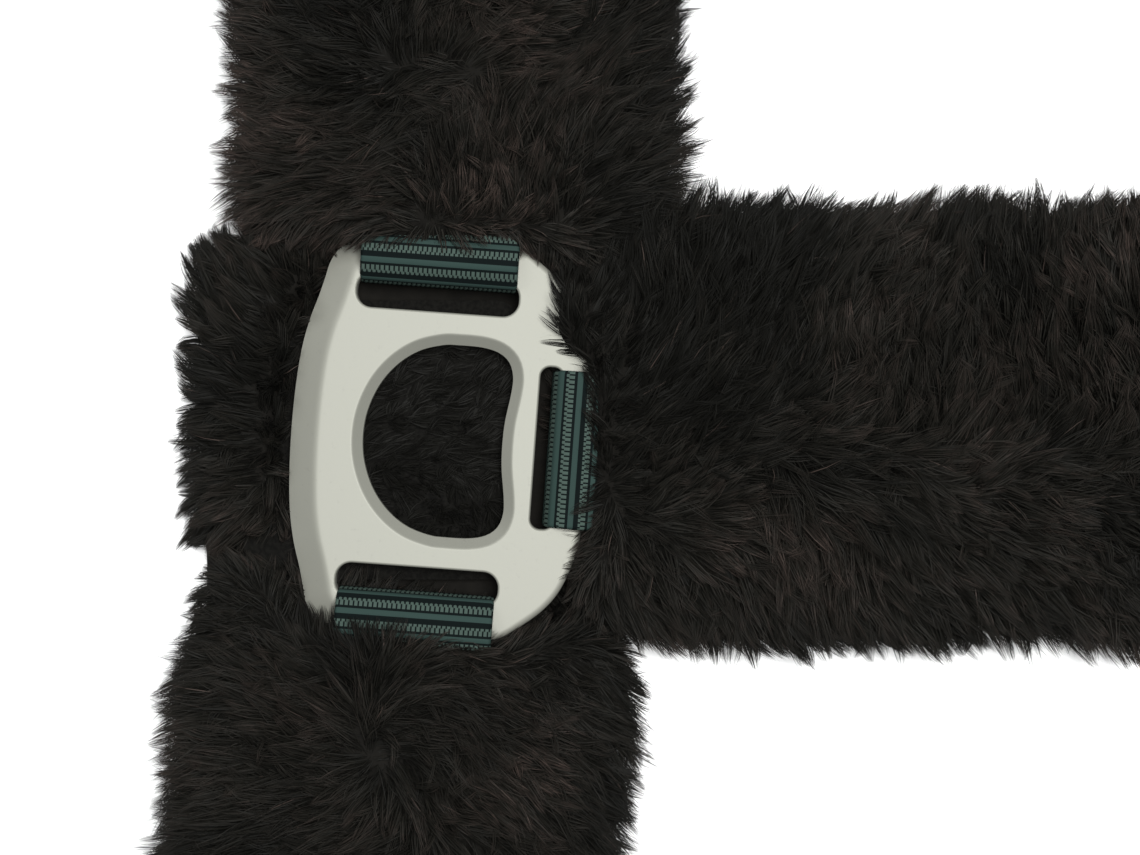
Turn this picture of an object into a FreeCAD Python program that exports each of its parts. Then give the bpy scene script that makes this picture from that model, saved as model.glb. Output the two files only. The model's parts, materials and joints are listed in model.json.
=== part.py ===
import FreeCAD, Part
import os
from math import acos, atan2, cos, degrees, hypot, pi, radians, sin, tan

# A fur-covered elastic breastplate for a horse, laid out on a flat surface with its outer face up.
# Millimetres. X runs along the chest band, Y towards the withers, Z up from the surface.

# ---- driving dimensions -------------------------------------------------------------------
webbing_width = 30.0        # elastic webbing of every strap
webbing_thick = 1.8
layout_span = 480.0         # between the two junction plates' centres
slot_clear = 1.0            # a slot is this much longer than the webbing is wide
bar_clear = 0.15            # between a bar and the webbing folded round it

plate_thick = 4.5
window_length = 36.8        # the plate's open middle, along X
window_inset = 1.6          # its sides are this far inside the slots' ends
window_to_slot = 6.0
end_slot = 6.6
end_bar = 7.0
side_bar = 6.0
side_slot = 4.4
window_to_side_slot = 5.2
low_land = 13.8             # the broad face below the window
slot_offset = -1.5          # the end slots sit a little low
plate_bevel = 4.6           # width of the slope along its low edge
plate_slope = 24.0          # that slope's angle
plate_chamfer = 2.0         # depth of the bevel all round
plate_chamfer_run = 1.3
window_lip = 1.5            # flare of the window's rim
window_dip = 1.1            # how far its upper side bows in
window_corner = 5.0
plate_slot_corner = 2.2
side_slot_corner = 2.0
plate_tilt = {"right": -4.2, "left": 2.4}

pad_fur_height = 8.0
pad_base_height = 2.5
pad_gap = 1.0               # between the pad's base and the plate
pad_low = 45.0              # the pad's lower edge, below the plate's centre
pad_high = 20.0
pad_corner = 8.0
pad_round = 3.5
pad_base_inset = 4.0
pad_base_margin = 3.0
pad_base_corner = 6.0

sleeve_width = 76.0
sleeve_height = 24.0
sleeve_corner = 20.0        # in plan
sleeve_round = 10.0         # in section
sleeve_end_round = 7.0
sleeve_start = 6.0          # from a bar's centre to the sleeve's end
side_sleeve = 180.0
neck_sleeve = 220.0
tunnel_clear = 1.2          # above and below the webbing
tunnel_side_clear = 2.6     # beside it, so that a tilted plate has room
closure_width = 20.0
closure_thick = 2.0
closure_lift = 0.3
fold_taper = 3.3            # a fold's length from its bar, over its outer radius
fold_sewn = 45.0            # doubled webbing beyond a fold
sleeve_shift = {"chest": -2.5, "side_right": -1.5, "side_left": 1.5, "neck_right": 5.0, "neck_left": -3.5}
side_angle = {"right": -5.5, "left": 183.0}

ring_gap = 56.0             # bare webbing in the middle of the chest band
ring_wire = 2.5
tab_drop = 34.0             # from the chest band's middle to the ring's bar
ring_height = 4.5
ring_depth = 20.0
ring_bend = 14.0            # of its bow's corners
wire_bend = 2.9             # of the tight corners of rings, slides and frames

slope_run = 30.0            # where bare webbing comes down from a sleeve to the surface
slider_frame = 2.5
slider_slot = 6.0
slider_bar = 3.0
slider_beyond = 16.0        # from the foot of the slope to the slide's middle bar
slider_gap = 0.2            # between the slide and the webbing
slider_ease = 1.75
slider_to_eye = 36.0
eye_wire = 2.0
eye_length = 13.0
eye_level = 4.8
eye_bend = 6.0
post_radius = 2.5
post_clear = 0.1
barrel_radius = 4.6
barrel_length = 6.0
hook_length = 40.0
hook_width = 24.0
hook_wire = 5.0
hook_bend = 5.5             # radius of its corners, to the wire's middle
gate_pin_radius = 1.2
gate_clear = 0.3
gate_arm = 1.9              # radius of the gate's arm
gate_root = 3.6             # flat part of the arm, beside the ears
ear_thick = 1.2             # the two ears that hold a gate's pin

buckle_level = 4.0
buckle_wire = 2.0
buckle_length = 28.0
buckle_clear = 1.5
roller_wall = 1.1
tongue_wire = 1.5
tongue_slot = 8.0
tongue_clear = 1.0
heel_beyond = 88.0          # from the foot of the slope to the buckle's heel bar
keeper_from_heel = 46.0
keeper_spacing = 24.0
keeper_side_clear = 0.8
keeper_low_clear = 0.3
keeper_corner = 1.6
keeper_wall = 1.8
keeper_width = 12.0
keeper_room = 5.6

billet_level = 1.3
billet_flat = 150.0
hole_count = 5
hole_pitch = 25.0
eyelet_hole = 2.4
eyelet_wall = 0.6
eyelet_flange = 4.6
eyelet_lip = 0.4
tip_length = 24.0
tip_wall = 0.9
tip_corner = 12.0
tip_over = 4.0              # past the webbing's end
first_hole = 18.0           # beyond the foot of the slope
stitch_pitch = 4.0
stitch_long = 2.6
thread = 0.4
stitch_inset = 3.0

# ---- worked out ---------------------------------------------------------------------------
V = FreeCAD.Vector
UP = V(0, 0, 1)
half_web = webbing_width / 2
half_slot = (webbing_width + slot_clear) / 2
window_half = half_slot - window_inset
end_slot_in = window_length / 2 + window_to_slot
plate_end = end_slot_in + end_slot + end_bar
end_bar_at = plate_end - end_bar / 2
side_slot_in = window_half + window_to_side_slot
plate_top = side_slot_in + side_slot + side_bar
side_bar_at = plate_top - side_bar / 2
plate_low = window_half + low_land
plate_z = pad_fur_height + pad_base_height + pad_gap
web_z = plate_z + plate_thick / 2
end_cavity = end_bar / 2 + bar_clear
side_cavity = side_bar / 2 + bar_clear
plate_at = {"right": V(layout_span / 2, 0, 0), "left": V(-layout_span / 2, 0, 0)}
end_fold = fold_taper * (end_cavity + webbing_thick)
side_fold = fold_taper * (side_cavity + webbing_thick)


# ---- shapes -------------------------------------------------------------------------------
def box(x0, x1, y0, y1, z0, z1):
    return Part.makeBox(x1 - x0, y1 - y0, z1 - z0, V(x0, y0, z0))


def line(a, b):
    return Part.LineSegment(a, b).toShape()


def arc(a, middle, b):
    return Part.Arc(a, middle, b).toShape()


def prism(edges, along):
    return Part.Face(Part.Wire(edges)).extrude(along)


def polygon(points, along):
    return Part.Face(Part.makePolygon(points + points[:1])).extrude(along)


def rounded(u0, u1, v0, v1, r, at, along):
    """A rounded rectangle in any plane: at(u, v) gives a point, along is the extrusion."""
    k = r * (1 - cos(pi / 4))
    edges = [
        line(at(u0 + r, v0), at(u1 - r, v0)),
        arc(at(u1 - r, v0), at(u1 - k, v0 + k), at(u1, v0 + r)),
        line(at(u1, v0 + r), at(u1, v1 - r)),
        arc(at(u1, v1 - r), at(u1 - k, v1 - k), at(u1 - r, v1)),
        line(at(u1 - r, v1), at(u0 + r, v1)),
        arc(at(u0 + r, v1), at(u0 + k, v1 - k), at(u0, v1 - r)),
        line(at(u0, v1 - r), at(u0, v0 + r)),
        arc(at(u0, v0 + r), at(u0 + k, v0 + k), at(u0 + r, v0)),
    ]
    return prism(edges, along)


def soft_block(x0, x1, y0, y1, z0, z1, plan, section, end):
    """A padded block, rounded in plan, across and along."""
    from_above = rounded(x0, x1, y0, y1, plan, lambda u, v: V(u, v, z0), V(0, 0, z1 - z0))
    across = rounded(y0, y1, z0, z1, section, lambda u, v: V(x0, u, v), V(x1 - x0, 0, 0))
    along = rounded(x0, x1, z0, z1, end, lambda u, v: V(u, y0, v), V(0, y1 - y0, 0))
    return from_above.common(across).common(along)


def turned(shape, angle, at):
    moved = shape.copy()
    moved.rotate(V(0, 0, 0), UP, angle)
    moved.translate(at)
    return moved


def spot(x, y, angle, at):
    """Where a local point comes to when its frame is turned and moved."""
    c, s = cos(radians(angle)), sin(radians(angle))
    return V(at.x + x * c - y * s, at.y + x * s + y * c, at.z)


def teardrop(radius, tip, half, width):
    """Round a bar at the origin, drawn together to a tip of a given half height."""
    lean = atan2(half, tip) + acos(radius / hypot(tip, half))
    y = -width / 2
    top, low = V(tip, y, half), V(tip, y, -half)
    on_top = V(radius * cos(lean), y, radius * sin(lean))
    on_low = V(on_top.x, y, -on_top.z)
    edges = [line(top, on_top), arc(on_top, V(-radius, y, 0), on_low), line(on_low, low)]
    if half > 0:
        edges.append(line(low, top))
    return prism(edges, V(0, width, 0))


def strap_fold(cavity, tail):
    """Webbing folded round a bar at the origin, sewn to itself, with its tail along +X."""
    tip = fold_taper * (cavity + webbing_thick)
    outside = teardrop(cavity + webbing_thick, tip, webbing_thick, webbing_width)
    sewn = box(tip - 0.5, tail, -half_web, half_web, -webbing_thick, webbing_thick)
    inside = teardrop(cavity, tip - 4, 0, webbing_width)
    return outside.fuse(sewn).cut(inside)


def band(points, low, high):
    """Webbing that follows points (x, z), reaching low and high to its two sides."""
    sides = ([], [])
    last = len(points) - 1
    for i, (x, z) in enumerate(points):
        before, after = points[max(i - 1, 0)], points[min(i + 1, last)]
        slope = atan2(after[1] - before[1], after[0] - before[0])
        for side, reach in zip(sides, (low, high)):
            side.append(V(x - reach * sin(slope), -half_web, z + reach * cos(slope)))
    return polygon(sides[0] + sides[1][::-1], V(0, webbing_width, 0))


def wire_ring(corners, bends, radius):
    """A closed round wire through corners at one height, each bent at its own radius."""
    starts, arcs = [], []
    for before, corner, after, bend in zip(corners[-1:] + corners, corners, corners[1:] + corners[:1], bends):
        came, goes = (corner - before).normalize(), (after - corner).normalize()
        turn = came.getAngle(goes)
        into, out = corner - came * (bend * tan(turn / 2)), corner + goes * (bend * tan(turn / 2))
        inward = (goes - came).normalize()
        middle = corner + inward * (bend / cos(turn / 2) - bend)
        starts.append((into, out))
        arcs.append(arc(into, middle, out))
    edges = []
    for i, bent in enumerate(arcs):
        edges += [bent, line(starts[i][1], starts[(i + 1) % len(starts)][0])]
    at = (starts[-1][1] + starts[0][0]) * 0.5
    edges[-1:] = [line(starts[-1][1], at)]
    edges.insert(0, line(at, starts[0][0]))
    circle = Part.Wire([Part.makeCircle(radius, at, starts[0][0] - at)])
    return Part.Wire(edges).makePipeShell([circle], True, False)


def wire_run(start, corners, end, bend, radius):
    """A round wire from start to end, bent round each right-angled corner."""
    edges, at = [], start
    before = start
    for corner, after in zip(corners, corners[1:] + [end]):
        came = (corner - before).normalize()
        goes = (after - corner).normalize()
        into, out = corner - came * bend, corner + goes * bend
        middle = corner + (goes - came) * (bend * (1 - cos(pi / 4)))
        edges += [line(at, into), arc(into, middle, out)]
        at, before = out, corner
    edges.append(line(at, end))
    circle = Part.Wire([Part.makeCircle(radius, start, corners[0] - start)])
    return Part.Wire(edges).makePipeShell([circle], True, False)


# ---- junction plate and its pad -----------------------------------------------------------
def plate_outline(grow):
    """The plate's outer edge, drawn in by -grow, as edges at z = 0."""
    end, top, low = plate_end + grow, plate_top + grow, plate_low + grow
    low_bar, high_bar = slot_offset - half_slot, slot_offset + half_slot - 3
    heel, toe = V(end - 7, -(low - 4.8), 0), V(end - 1.6, low_bar - 3, 0)
    shoulder = V(half_slot + 3, top, 0)
    corner = V(end - 6.4, top - 7.2, 0)

    def other(p):
        return V(-p.x, p.y, p.z)

    foot, elbow = V(end, low_bar, 0), V(end, high_bar, 0)
    right = [line(heel, toe), line(toe, foot), line(foot, elbow), arc(elbow, corner, shoulder)]
    left = [
        arc(other(shoulder), other(corner), other(elbow)),
        line(other(elbow), other(foot)),
        line(other(foot), other(toe)),
        line(other(toe), other(heel)),
    ]
    belly = arc(other(heel), V(0, -low, 0), heel)
    return [belly] + right + [line(shoulder, other(shoulder))] + left


def plate_window(grow, along, z):
    """The open middle: bowed out below, bowed in a little above, with round corners."""
    long, high = window_length / 2 + grow, window_half + grow
    dip, r = window_dip, window_corner
    k = r * (1 - cos(pi / 4))
    low_y = -high + 0.29 * high
    edges = [
        arc(V(-long + 4, low_y, z), V(0, -high, z), V(long - 4, low_y, z)),
        arc(V(long - 4, low_y, z), V(long - 0.9, -0.4 * high, z), V(long, 0, z)),
        line(V(long, 0, z), V(long, high - r, z)),
        arc(V(long, high - r, z), V(long - k, high - k, z), V(long - r, high, z)),
        arc(V(long - r, high, z), V(0, high - dip, z), V(r - long, high, z)),
        arc(V(r - long, high, z), V(k - long, high - k, z), V(-long, high - r, z)),
        line(V(-long, high - r, z), V(-long, 0, z)),
        arc(V(-long, 0, z), V(0.9 - long, -0.4 * high, z), V(4 - long, low_y, z)),
    ]
    return prism(edges, along)


def elliptic_bar(half_wide, half_thick, length):
    """A bar along Y about the origin."""
    oval = Part.Ellipse(V(0, 0, 0), half_wide, half_thick).toShape()
    bar = Part.Face(Part.Wire([oval])).extrude(V(0, 0, length))
    bar.rotate(V(0, 0, 0), V(1, 0, 0), 90)
    bar.translate(V(0, length / 2, 0))
    return bar


def make_plate():
    body = prism(plate_outline(0), UP * plate_thick)
    shoulder = plate_thick - plate_chamfer
    slope = Part.makeLoft(
        [
            Part.Wire([e.translated(UP * shoulder) for e in plate_outline(0.02)]),
            Part.Wire([e.translated(UP * plate_thick) for e in plate_outline(-plate_chamfer_run)]),
        ],
        True,
    )
    body = body.common(slope.fuse(prism(plate_outline(0), UP * shoulder)))
    reach = 2 * plate_end
    drop = box(-reach, reach, -plate_low, 0, 0, plate_low)
    drop.rotate(V(0, 0, 0), V(1, 0, 0), plate_slope)
    drop.translate(V(0, plate_bevel - plate_low, plate_thick))
    body = body.cut(drop)
    body = body.cut(plate_window(0, UP * plate_thick, 0))
    flare = Part.makeLoft(
        [
            plate_window(0, UP, plate_thick - window_lip).Faces[-2].OuterWire,
            plate_window(window_lip, UP, plate_thick).Faces[-2].OuterWire,
        ],
        True,
    )
    body = body.cut(flare)
    through = UP * plate_thick
    bar_long = 2 * half_slot + 1.2
    for side in (-1, 1):
        inner, outer = side * end_slot_in, side * (plate_end + 1)
        x0, x1 = min(inner, outer), max(inner, outer)
        y0, y1 = slot_offset - half_slot, slot_offset + half_slot
        gap = rounded(x0, x1, y0, y1, plate_slot_corner, lambda u, v: V(u, v, 0), through)
        bar = elliptic_bar(end_bar / 2, plate_thick / 2, bar_long)
        bar.translate(V(side * end_bar_at, slot_offset, plate_thick / 2))
        body = body.cut(gap).fuse(bar)
    y0, y1 = side_slot_in, plate_top + 1
    gap = rounded(
        -half_slot, half_slot, y0, y1, side_slot_corner, lambda u, v: V(u, v, 0), through
    )
    bar = elliptic_bar(side_bar / 2, plate_thick / 2, bar_long)
    bar.rotate(V(0, 0, 0), UP, 90)
    bar.translate(V(0, side_bar_at, plate_thick / 2))
    return body.cut(gap).fuse(bar).removeSplitter()


def make_pad():
    """The fur-backed pad that keeps the plate off the horse: (fur, base)."""
    reach = end_bar_at - end_cavity
    fur = soft_block(
        -reach, reach, -pad_low, pad_high, 0, pad_fur_height, pad_corner, pad_round, pad_round
    )
    inner = reach - pad_base_inset
    base = rounded(
        -inner, inner, pad_corner - pad_low, pad_high - pad_base_margin, pad_base_corner,
        lambda u, v: V(u, v, pad_fur_height), V(0, 0, pad_base_height),
    )
    return fur, base


# ---- sleeves ------------------------------------------------------------------------------
def make_sleeve(length, shift):
    """A fur sleeve along +X from a bar at the origin, and the closure under it."""
    x0, x1 = sleeve_start, sleeve_start + length
    y0, y1 = shift - sleeve_width / 2, shift + sleeve_width / 2
    floor = -web_z
    ceiling = floor + sleeve_height
    body = soft_block(
        x0, x1, y0, y1, floor, ceiling, sleeve_corner, sleeve_round, sleeve_end_round
    )
    half = webbing_thick + tunnel_clear
    mouth = end_cavity + webbing_thick + 0.4
    flared = end_fold + 4
    wall = half_web + tunnel_side_clear
    profile = [
        V(x0 - 2, -wall, mouth), V(flared, -wall, half), V(x1 + 2, -wall, half),
        V(x1 + 2, -wall, -half), V(flared, -wall, -half), V(x0 - 2, -wall, -mouth),
    ]
    body = body.cut(polygon(profile, V(0, 2 * wall, 0)))
    low = floor + closure_lift
    inset = sleeve_corner
    y0, y1 = shift - closure_width / 2, shift + closure_width / 2
    closure = box(x0 + inset, x1 - inset, y0, y1, low, low + closure_thick)
    recess = box(x0 + inset, x1 - inset, y0, y1, floor - 1, low + closure_thick)
    return body.cut(recess), closure


# ---- straps -------------------------------------------------------------------------------
def make_chest_webbing(left_bar, right_bar):
    """The band between the two plates, folded round a bar of each."""
    run = right_bar - left_bar
    angle = degrees(atan2(run.y, run.x))
    fold = end_fold + fold_sewn
    lap = 12.0
    flat = box(fold - lap, run.Length - fold + lap, -half_web, half_web, 0, webbing_thick)
    solid = turned(flat, angle, left_bar)
    for at, tilt, way in ((left_bar, plate_tilt["left"], 0), (right_bar, plate_tilt["right"], 180)):
        solid = solid.fuse(turned(strap_end(end_cavity, tilt - angle), way + angle, at))
    return solid.removeSplitter()


def strap_end(cavity, lean):
    """The sewn end of a strap along +X, its fold turned by lean to lie square on the bar."""
    tip = fold_taper * (cavity + webbing_thick)
    sewn = box(tip - 2, tip + fold_sewn, -half_web, half_web, -webbing_thick, webbing_thick)
    return turned(strap_fold(cavity, tip + 2), lean, V(0, 0, 0)).fuse(sewn)


def make_side_webbing(lean):
    """(webbing, slider's place, end bar's place): it ends folded round the snap's eye."""
    end = sleeve_start + side_sleeve
    drop = web_z - eye_level
    level = -drop
    hump = slider_bar / 2 + webbing_thick / 2 + slider_gap
    dip = slider_frame / 2 + webbing_thick / 2 + slider_gap
    middle = end + slope_run + slider_beyond
    under = slider_slot + slider_bar / 2 + slider_frame / 2 - slider_ease
    over = 1.0
    cavity = eye_wire + bar_clear
    eye_fold = fold_taper * (cavity + webbing_thick)
    eye_at = middle + slider_to_eye + eye_fold
    half = webbing_thick / 2
    route = [(end_fold, 0), (end + 2, 0), (end + slope_run, level - dip)]
    route += [(middle - under, level - dip), (middle - over, level + hump)]
    route += [(middle + over, level + hump), (middle + under, level - dip)]
    route += [(middle + 16, level - dip), (middle + 23, level)]
    route.append((eye_at - eye_fold, level))
    fold = strap_fold(cavity, eye_fold + 12)
    fold.rotate(V(0, 0, 0), UP, 180)
    fold.translate(V(eye_at, 0, level))
    solid = strap_end(end_cavity, lean).fuse(band(route, -half, half)).fuse(fold)
    return solid.removeSplitter(), middle, eye_at


def make_slider():
    """A three-bar slide about the origin."""
    long = slider_slot + slider_bar / 2 + slider_frame / 2
    wide = half_web + slot_clear + slider_frame / 2
    corners = [V(-long, -wide, 0), V(long, -wide, 0), V(long, wide, 0), V(-long, wide, 0)]
    bar = Part.makeCylinder(slider_bar / 2, 2 * wide, V(0, -wide, 0), V(0, 1, 0))
    return wire_ring(corners, 4 * [wire_bend], slider_frame / 2).fuse(bar)


# ---- snap hook, along +X from the bar that the strap holds ---------------------------------
def make_snap_eye():
    wide = half_web + slot_clear + eye_wire
    corners = [V(0, -wide, 0), V(0, wide, 0), V(eye_length, wide, 0), V(eye_length, -wide, 0)]
    bends = [wire_bend, wire_bend, eye_bend, eye_bend]
    boss = Part.makeCylinder(
        barrel_radius, barrel_length, V(eye_length - barrel_length / 2, 0, 0), V(1, 0, 0)
    )
    hole = Part.makeCylinder(
        post_radius + post_clear, 3 * barrel_length, V(eye_length - 9, 0, 0), V(1, 0, 0)
    )
    return wire_ring(corners, bends, eye_wire).fuse(boss).cut(hole)


gate_at = V(eye_length + barrel_length / 2 + 18, hook_width / 2 - hook_wire / 2, 0)
gate_long = hook_length - 21


def make_snap_body():
    start = eye_length - barrel_length / 2
    head = Part.makeCylinder(barrel_radius - 1, 1.6, V(start - 1.8, 0, 0), V(1, 0, 0))
    post = Part.makeCylinder(post_radius, barrel_length + 2, V(start - 1.4, 0, 0), V(1, 0, 0))
    collar_at = start + barrel_length + 0.2
    collar = Part.makeCylinder(barrel_radius, 4.0, V(collar_at, 0, 0), V(1, 0, 0))
    r = hook_wire / 2
    x0, x1 = collar_at + 6, collar_at + 6 + hook_length
    side = hook_width / 2 - r
    mouth0, mouth1 = gate_at.x - r - gate_clear, gate_at.x + gate_long + gate_clear
    neck = Part.makeCylinder(r + 0.6, 5.0, V(collar_at + 2, 0, 0), V(1, 0, 0))
    hook = wire_run(
        V(mouth0, side, 0), [V(x0, side, 0), V(x0, -side, 0), V(x1, -side, 0), V(x1, side, 0)],
        V(mouth1, side, 0), hook_bend, r,
    ).fuse(neck)
    ears = None
    ear_radius, ear_reach = r + 0.4, r + 0.3
    for z in (-ear_reach, ear_reach - ear_thick):
        ear = Part.makeCylinder(ear_radius, ear_thick, V(gate_at.x, side, z), UP)
        root = box(mouth0 - 3.5, gate_at.x, side - r + 0.4, side + r - 0.4, z, z + ear_thick)
        ears = ear.fuse(root) if ears is None else ears.fuse(ear).fuse(root)
    pin_hole = Part.makeCylinder(gate_pin_radius, 2 * hook_wire, gate_at - UP * hook_wire, UP)
    return head.fuse(post).fuse(collar).fuse(hook).fuse(ears).cut(pin_hole)


def make_snap_gate():
    r = hook_wire / 2
    knuckle_half = r + 0.3 - ear_thick - 0.15
    thick = knuckle_half * 2
    knuckle = Part.makeCylinder(r - 0.1, thick, gate_at - UP * knuckle_half, UP)
    root_end = gate_at.x + gate_root
    root = box(gate_at.x, root_end, gate_at.y - gate_arm, gate_at.y + gate_arm, -1.3, 1.3)
    arm = Part.makeCylinder(
        gate_arm, gate_long - gate_root + 0.2, V(root_end - 0.2, gate_at.y, 0), V(1, 0, 0)
    )
    hole = Part.makeCylinder(gate_pin_radius + 0.05, 3 * r, gate_at - UP * (1.5 * r), UP)
    room = Part.makeCylinder(gate_pin_radius + 0.75, 1.0, gate_at - UP * 0.5, UP)
    return knuckle.fuse(root).fuse(arm).cut(hole).cut(room).removeSplitter()


def make_gate_pin():
    return Part.makeCylinder(gate_pin_radius, hook_wire, gate_at - UP * (hook_wire / 2), UP)


def make_gate_spring():
    outer = Part.makeCylinder(gate_pin_radius + 0.55, 0.7, gate_at - UP * 0.35, UP)
    return outer.cut(Part.makeCylinder(gate_pin_radius + 0.1, 2, gate_at - UP, UP))


# ---- buckle, along +X from its heel bar ----------------------------------------------------
def make_neck_webbing_buckled(lean):
    """(webbing, heel bar): folded round the buckle's heel bar, slotted for the tongue."""
    end = sleeve_start + neck_sleeve
    level = buckle_level - web_z
    cavity = buckle_wire + bar_clear
    fold_long = fold_taper * (cavity + webbing_thick)
    heel = end + slope_run + heel_beyond
    route = [(side_fold, 0), (end + 2, 0), (end + slope_run, level), (heel - fold_long, level)]
    fold = strap_fold(cavity, fold_long + 18)
    fold.rotate(V(0, 0, 0), UP, 180)
    fold.translate(V(heel, 0, level))
    half = webbing_thick / 2
    solid = strap_end(side_cavity, lean).fuse(band(route, -half, half))
    slot = box(heel - 9, heel + 9, -tongue_slot / 2, tongue_slot / 2, level - 9, level + 9)
    return solid.fuse(fold).cut(slot).removeSplitter(), heel


def make_buckle_frame():
    wide = half_web + buckle_clear + buckle_wire
    corners = [V(0, -wide, 0), V(0, wide, 0), V(buckle_length, wide, 0), V(buckle_length, -wide, 0)]
    return wire_ring(corners, 4 * [wire_bend], buckle_wire)


def make_buckle_roller():
    long = webbing_width
    outer = Part.makeCylinder(
        buckle_wire + 0.05 + roller_wall, long, V(buckle_length, -long / 2, 0), V(0, 1, 0)
    )
    bore = Part.makeCylinder(
        buckle_wire + 0.05, 2 * long, V(buckle_length, -long, 0), V(0, 1, 0)
    )
    return outer.cut(bore)


def make_buckle_tongue():
    width = tongue_slot - 2 * tongue_clear
    ring = Part.makeCylinder(buckle_wire + 1.4, width, V(0, -width / 2, 0), V(0, 1, 0))
    rest = buckle_wire + 0.05 + roller_wall + tongue_wire + 0.1
    rod_to = V(buckle_length + 3.5, 0, rest)
    rod_from = V(buckle_wire + 0.4, 0, rest - 1.0)
    rod = Part.makeCylinder(tongue_wire, (rod_to - rod_from).Length, rod_from, rod_to - rod_from)
    rise = box(-1.2, buckle_wire + 1.6, -1.9, 1.9, buckle_wire - 0.5, rest + 0.2)
    bore = Part.makeCylinder(buckle_wire + 0.05, 2 * width, V(0, -width, 0), V(0, 1, 0))
    return ring.fuse(rise).fuse(rod).fuse(Part.makeSphere(tongue_wire, rod_to)).cut(bore)


def make_keeper(x, level):
    """A loop round the strap, with room for the billet above it."""
    wide = half_web + keeper_side_clear
    low = -webbing_thick / 2 - keeper_low_clear
    high = webbing_thick / 2 + keeper_room
    x0, x1 = x, x + keeper_width
    w = keeper_wall
    outer = rounded(
        -wide - w, wide + w, level + low - w, level + high + w, keeper_corner,
        lambda u, v: V(x0, u, v), V(x1 - x0, 0, 0),
    )
    return outer.cut(box(x0 - 1, x1 + 1, -wide, wide, level + low, level + high))


# ---- billet -------------------------------------------------------------------------------
def billet_holes():
    first = sleeve_start + neck_sleeve + slope_run + first_hole
    return [first + i * hole_pitch for i in range(hole_count)]


def make_neck_webbing_billet(lean):
    end = sleeve_start + neck_sleeve
    level = billet_level - web_z
    stop = end + slope_run + billet_flat
    route = [(side_fold, 0), (end + 2, 0), (end + slope_run, level), (stop, level)]
    half = webbing_thick / 2
    solid = strap_end(side_cavity, lean).fuse(band(route, -half, half))
    for x in billet_holes():
        solid = solid.cut(
            Part.makeCylinder(eyelet_hole + eyelet_wall, 9, V(x, 0, level - 4.5), UP)
        )
    return solid.removeSplitter(), stop


def make_eyelets():
    level = billet_level - web_z
    solids = []
    half = webbing_thick / 2
    for x in billet_holes():
        tall = webbing_thick + 2 * eyelet_lip
        tube = Part.makeCylinder(eyelet_hole + eyelet_wall, tall, V(x, 0, level - tall / 2), UP)
        for z in (level + half, level - half - eyelet_lip):
            tube = tube.fuse(Part.makeCylinder(eyelet_flange, eyelet_lip, V(x, 0, z), UP))
        bore = Part.makeCylinder(eyelet_hole, 9, V(x, 0, level - 4.5), UP)
        solids.append(tube.cut(bore).removeSplitter())
    return Part.makeCompound(solids)


def make_billet_tip(stop):
    level = billet_level - web_z
    half = webbing_thick / 2
    wide = half_web + tip_wall
    x0, x1 = stop - tip_length + tip_over, stop + tip_over
    z0, z1 = level - half - tip_wall + 0.5, level + half + tip_wall
    shell = rounded(
        x0 - 20, x1, -wide, wide, tip_corner, lambda u, v: V(u, v, z0), V(0, 0, z1 - z0)
    )
    shell = shell.common(box(x0, x1, -wide, wide, z0, z1))
    pocket = box(x0 - 1, stop, -half_web, half_web, level - half, level + half)
    return shell, pocket


# ---- martingale ring in the middle of the chest band ---------------------------------------
def make_ring():
    """A D ring about the origin, its bar along X and its bow towards -Y."""
    half = half_web + slot_clear + ring_wire
    corners = [V(half, 0, 0), V(-half, 0, 0), V(-half, -ring_depth, 0), V(half, -ring_depth, 0)]
    return wire_ring(corners, [wire_bend, wire_bend, ring_bend, ring_bend], ring_wire)


def make_tab(rise):
    """Webbing folded round the ring's bar, running up over the chest band by rise."""
    cavity = ring_wire + bar_clear
    start = fold_taper * (cavity + webbing_thick)
    ramp = tab_drop - half_web - 1
    fold = strap_fold(cavity, start)
    route = [(start - 2.5, 0), (ramp, rise), (tab_drop + half_web - 2, rise)]
    return fold.fuse(band(route, -webbing_thick, webbing_thick)).removeSplitter()


def make_stitches(x0, x1, top):
    """A box of stitches on top of a fold, as short thread runs."""
    runs = []
    pitch, long = stitch_pitch, stitch_long
    reach = half_web - stitch_inset
    count = int((x1 - x0) / pitch)
    for i in range(count):
        x = x0 + i * pitch
        for y in (-reach, reach - thread):
            runs.append(box(x, x + long, y, y + thread, top, top + thread))
    for i in range(int(2 * reach / pitch)):
        y = -reach + 0.7 + i * pitch
        for x in (x0 - 1.5, x1 + 0.5):
            runs.append(box(x, x + thread, y, y + long, top, top + thread))
    return Part.makeCompound(runs)


# ---- the whole breastplate ----------------------------------------------------------------
nodes = {}
bars = {}
frames = {}


def along_strap(name, side, shape, angle, at):
    nodes[f"{name}_{side}"] = turned(shape, angle, at)


def make_junction(side):
    centre, tilt = plate_at[side], plate_tilt[side]
    nodes[f"plate_{side}"] = turned(make_plate(), tilt, centre + UP * plate_z)
    fur, base = make_pad()
    nodes[f"pad_fur_{side}"] = turned(fur, 0, centre)
    nodes[f"pad_base_{side}"] = turned(base, 0, centre)
    inward = -1 if side == "right" else 1
    level = centre + UP * web_z
    bars[f"chest_{side}"] = spot(inward * end_bar_at, slot_offset, tilt, level)
    bars[f"side_{side}"] = spot(-inward * end_bar_at, slot_offset, tilt, level)
    bars[f"neck_{side}"] = spot(0, side_bar_at, tilt, level)


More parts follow.
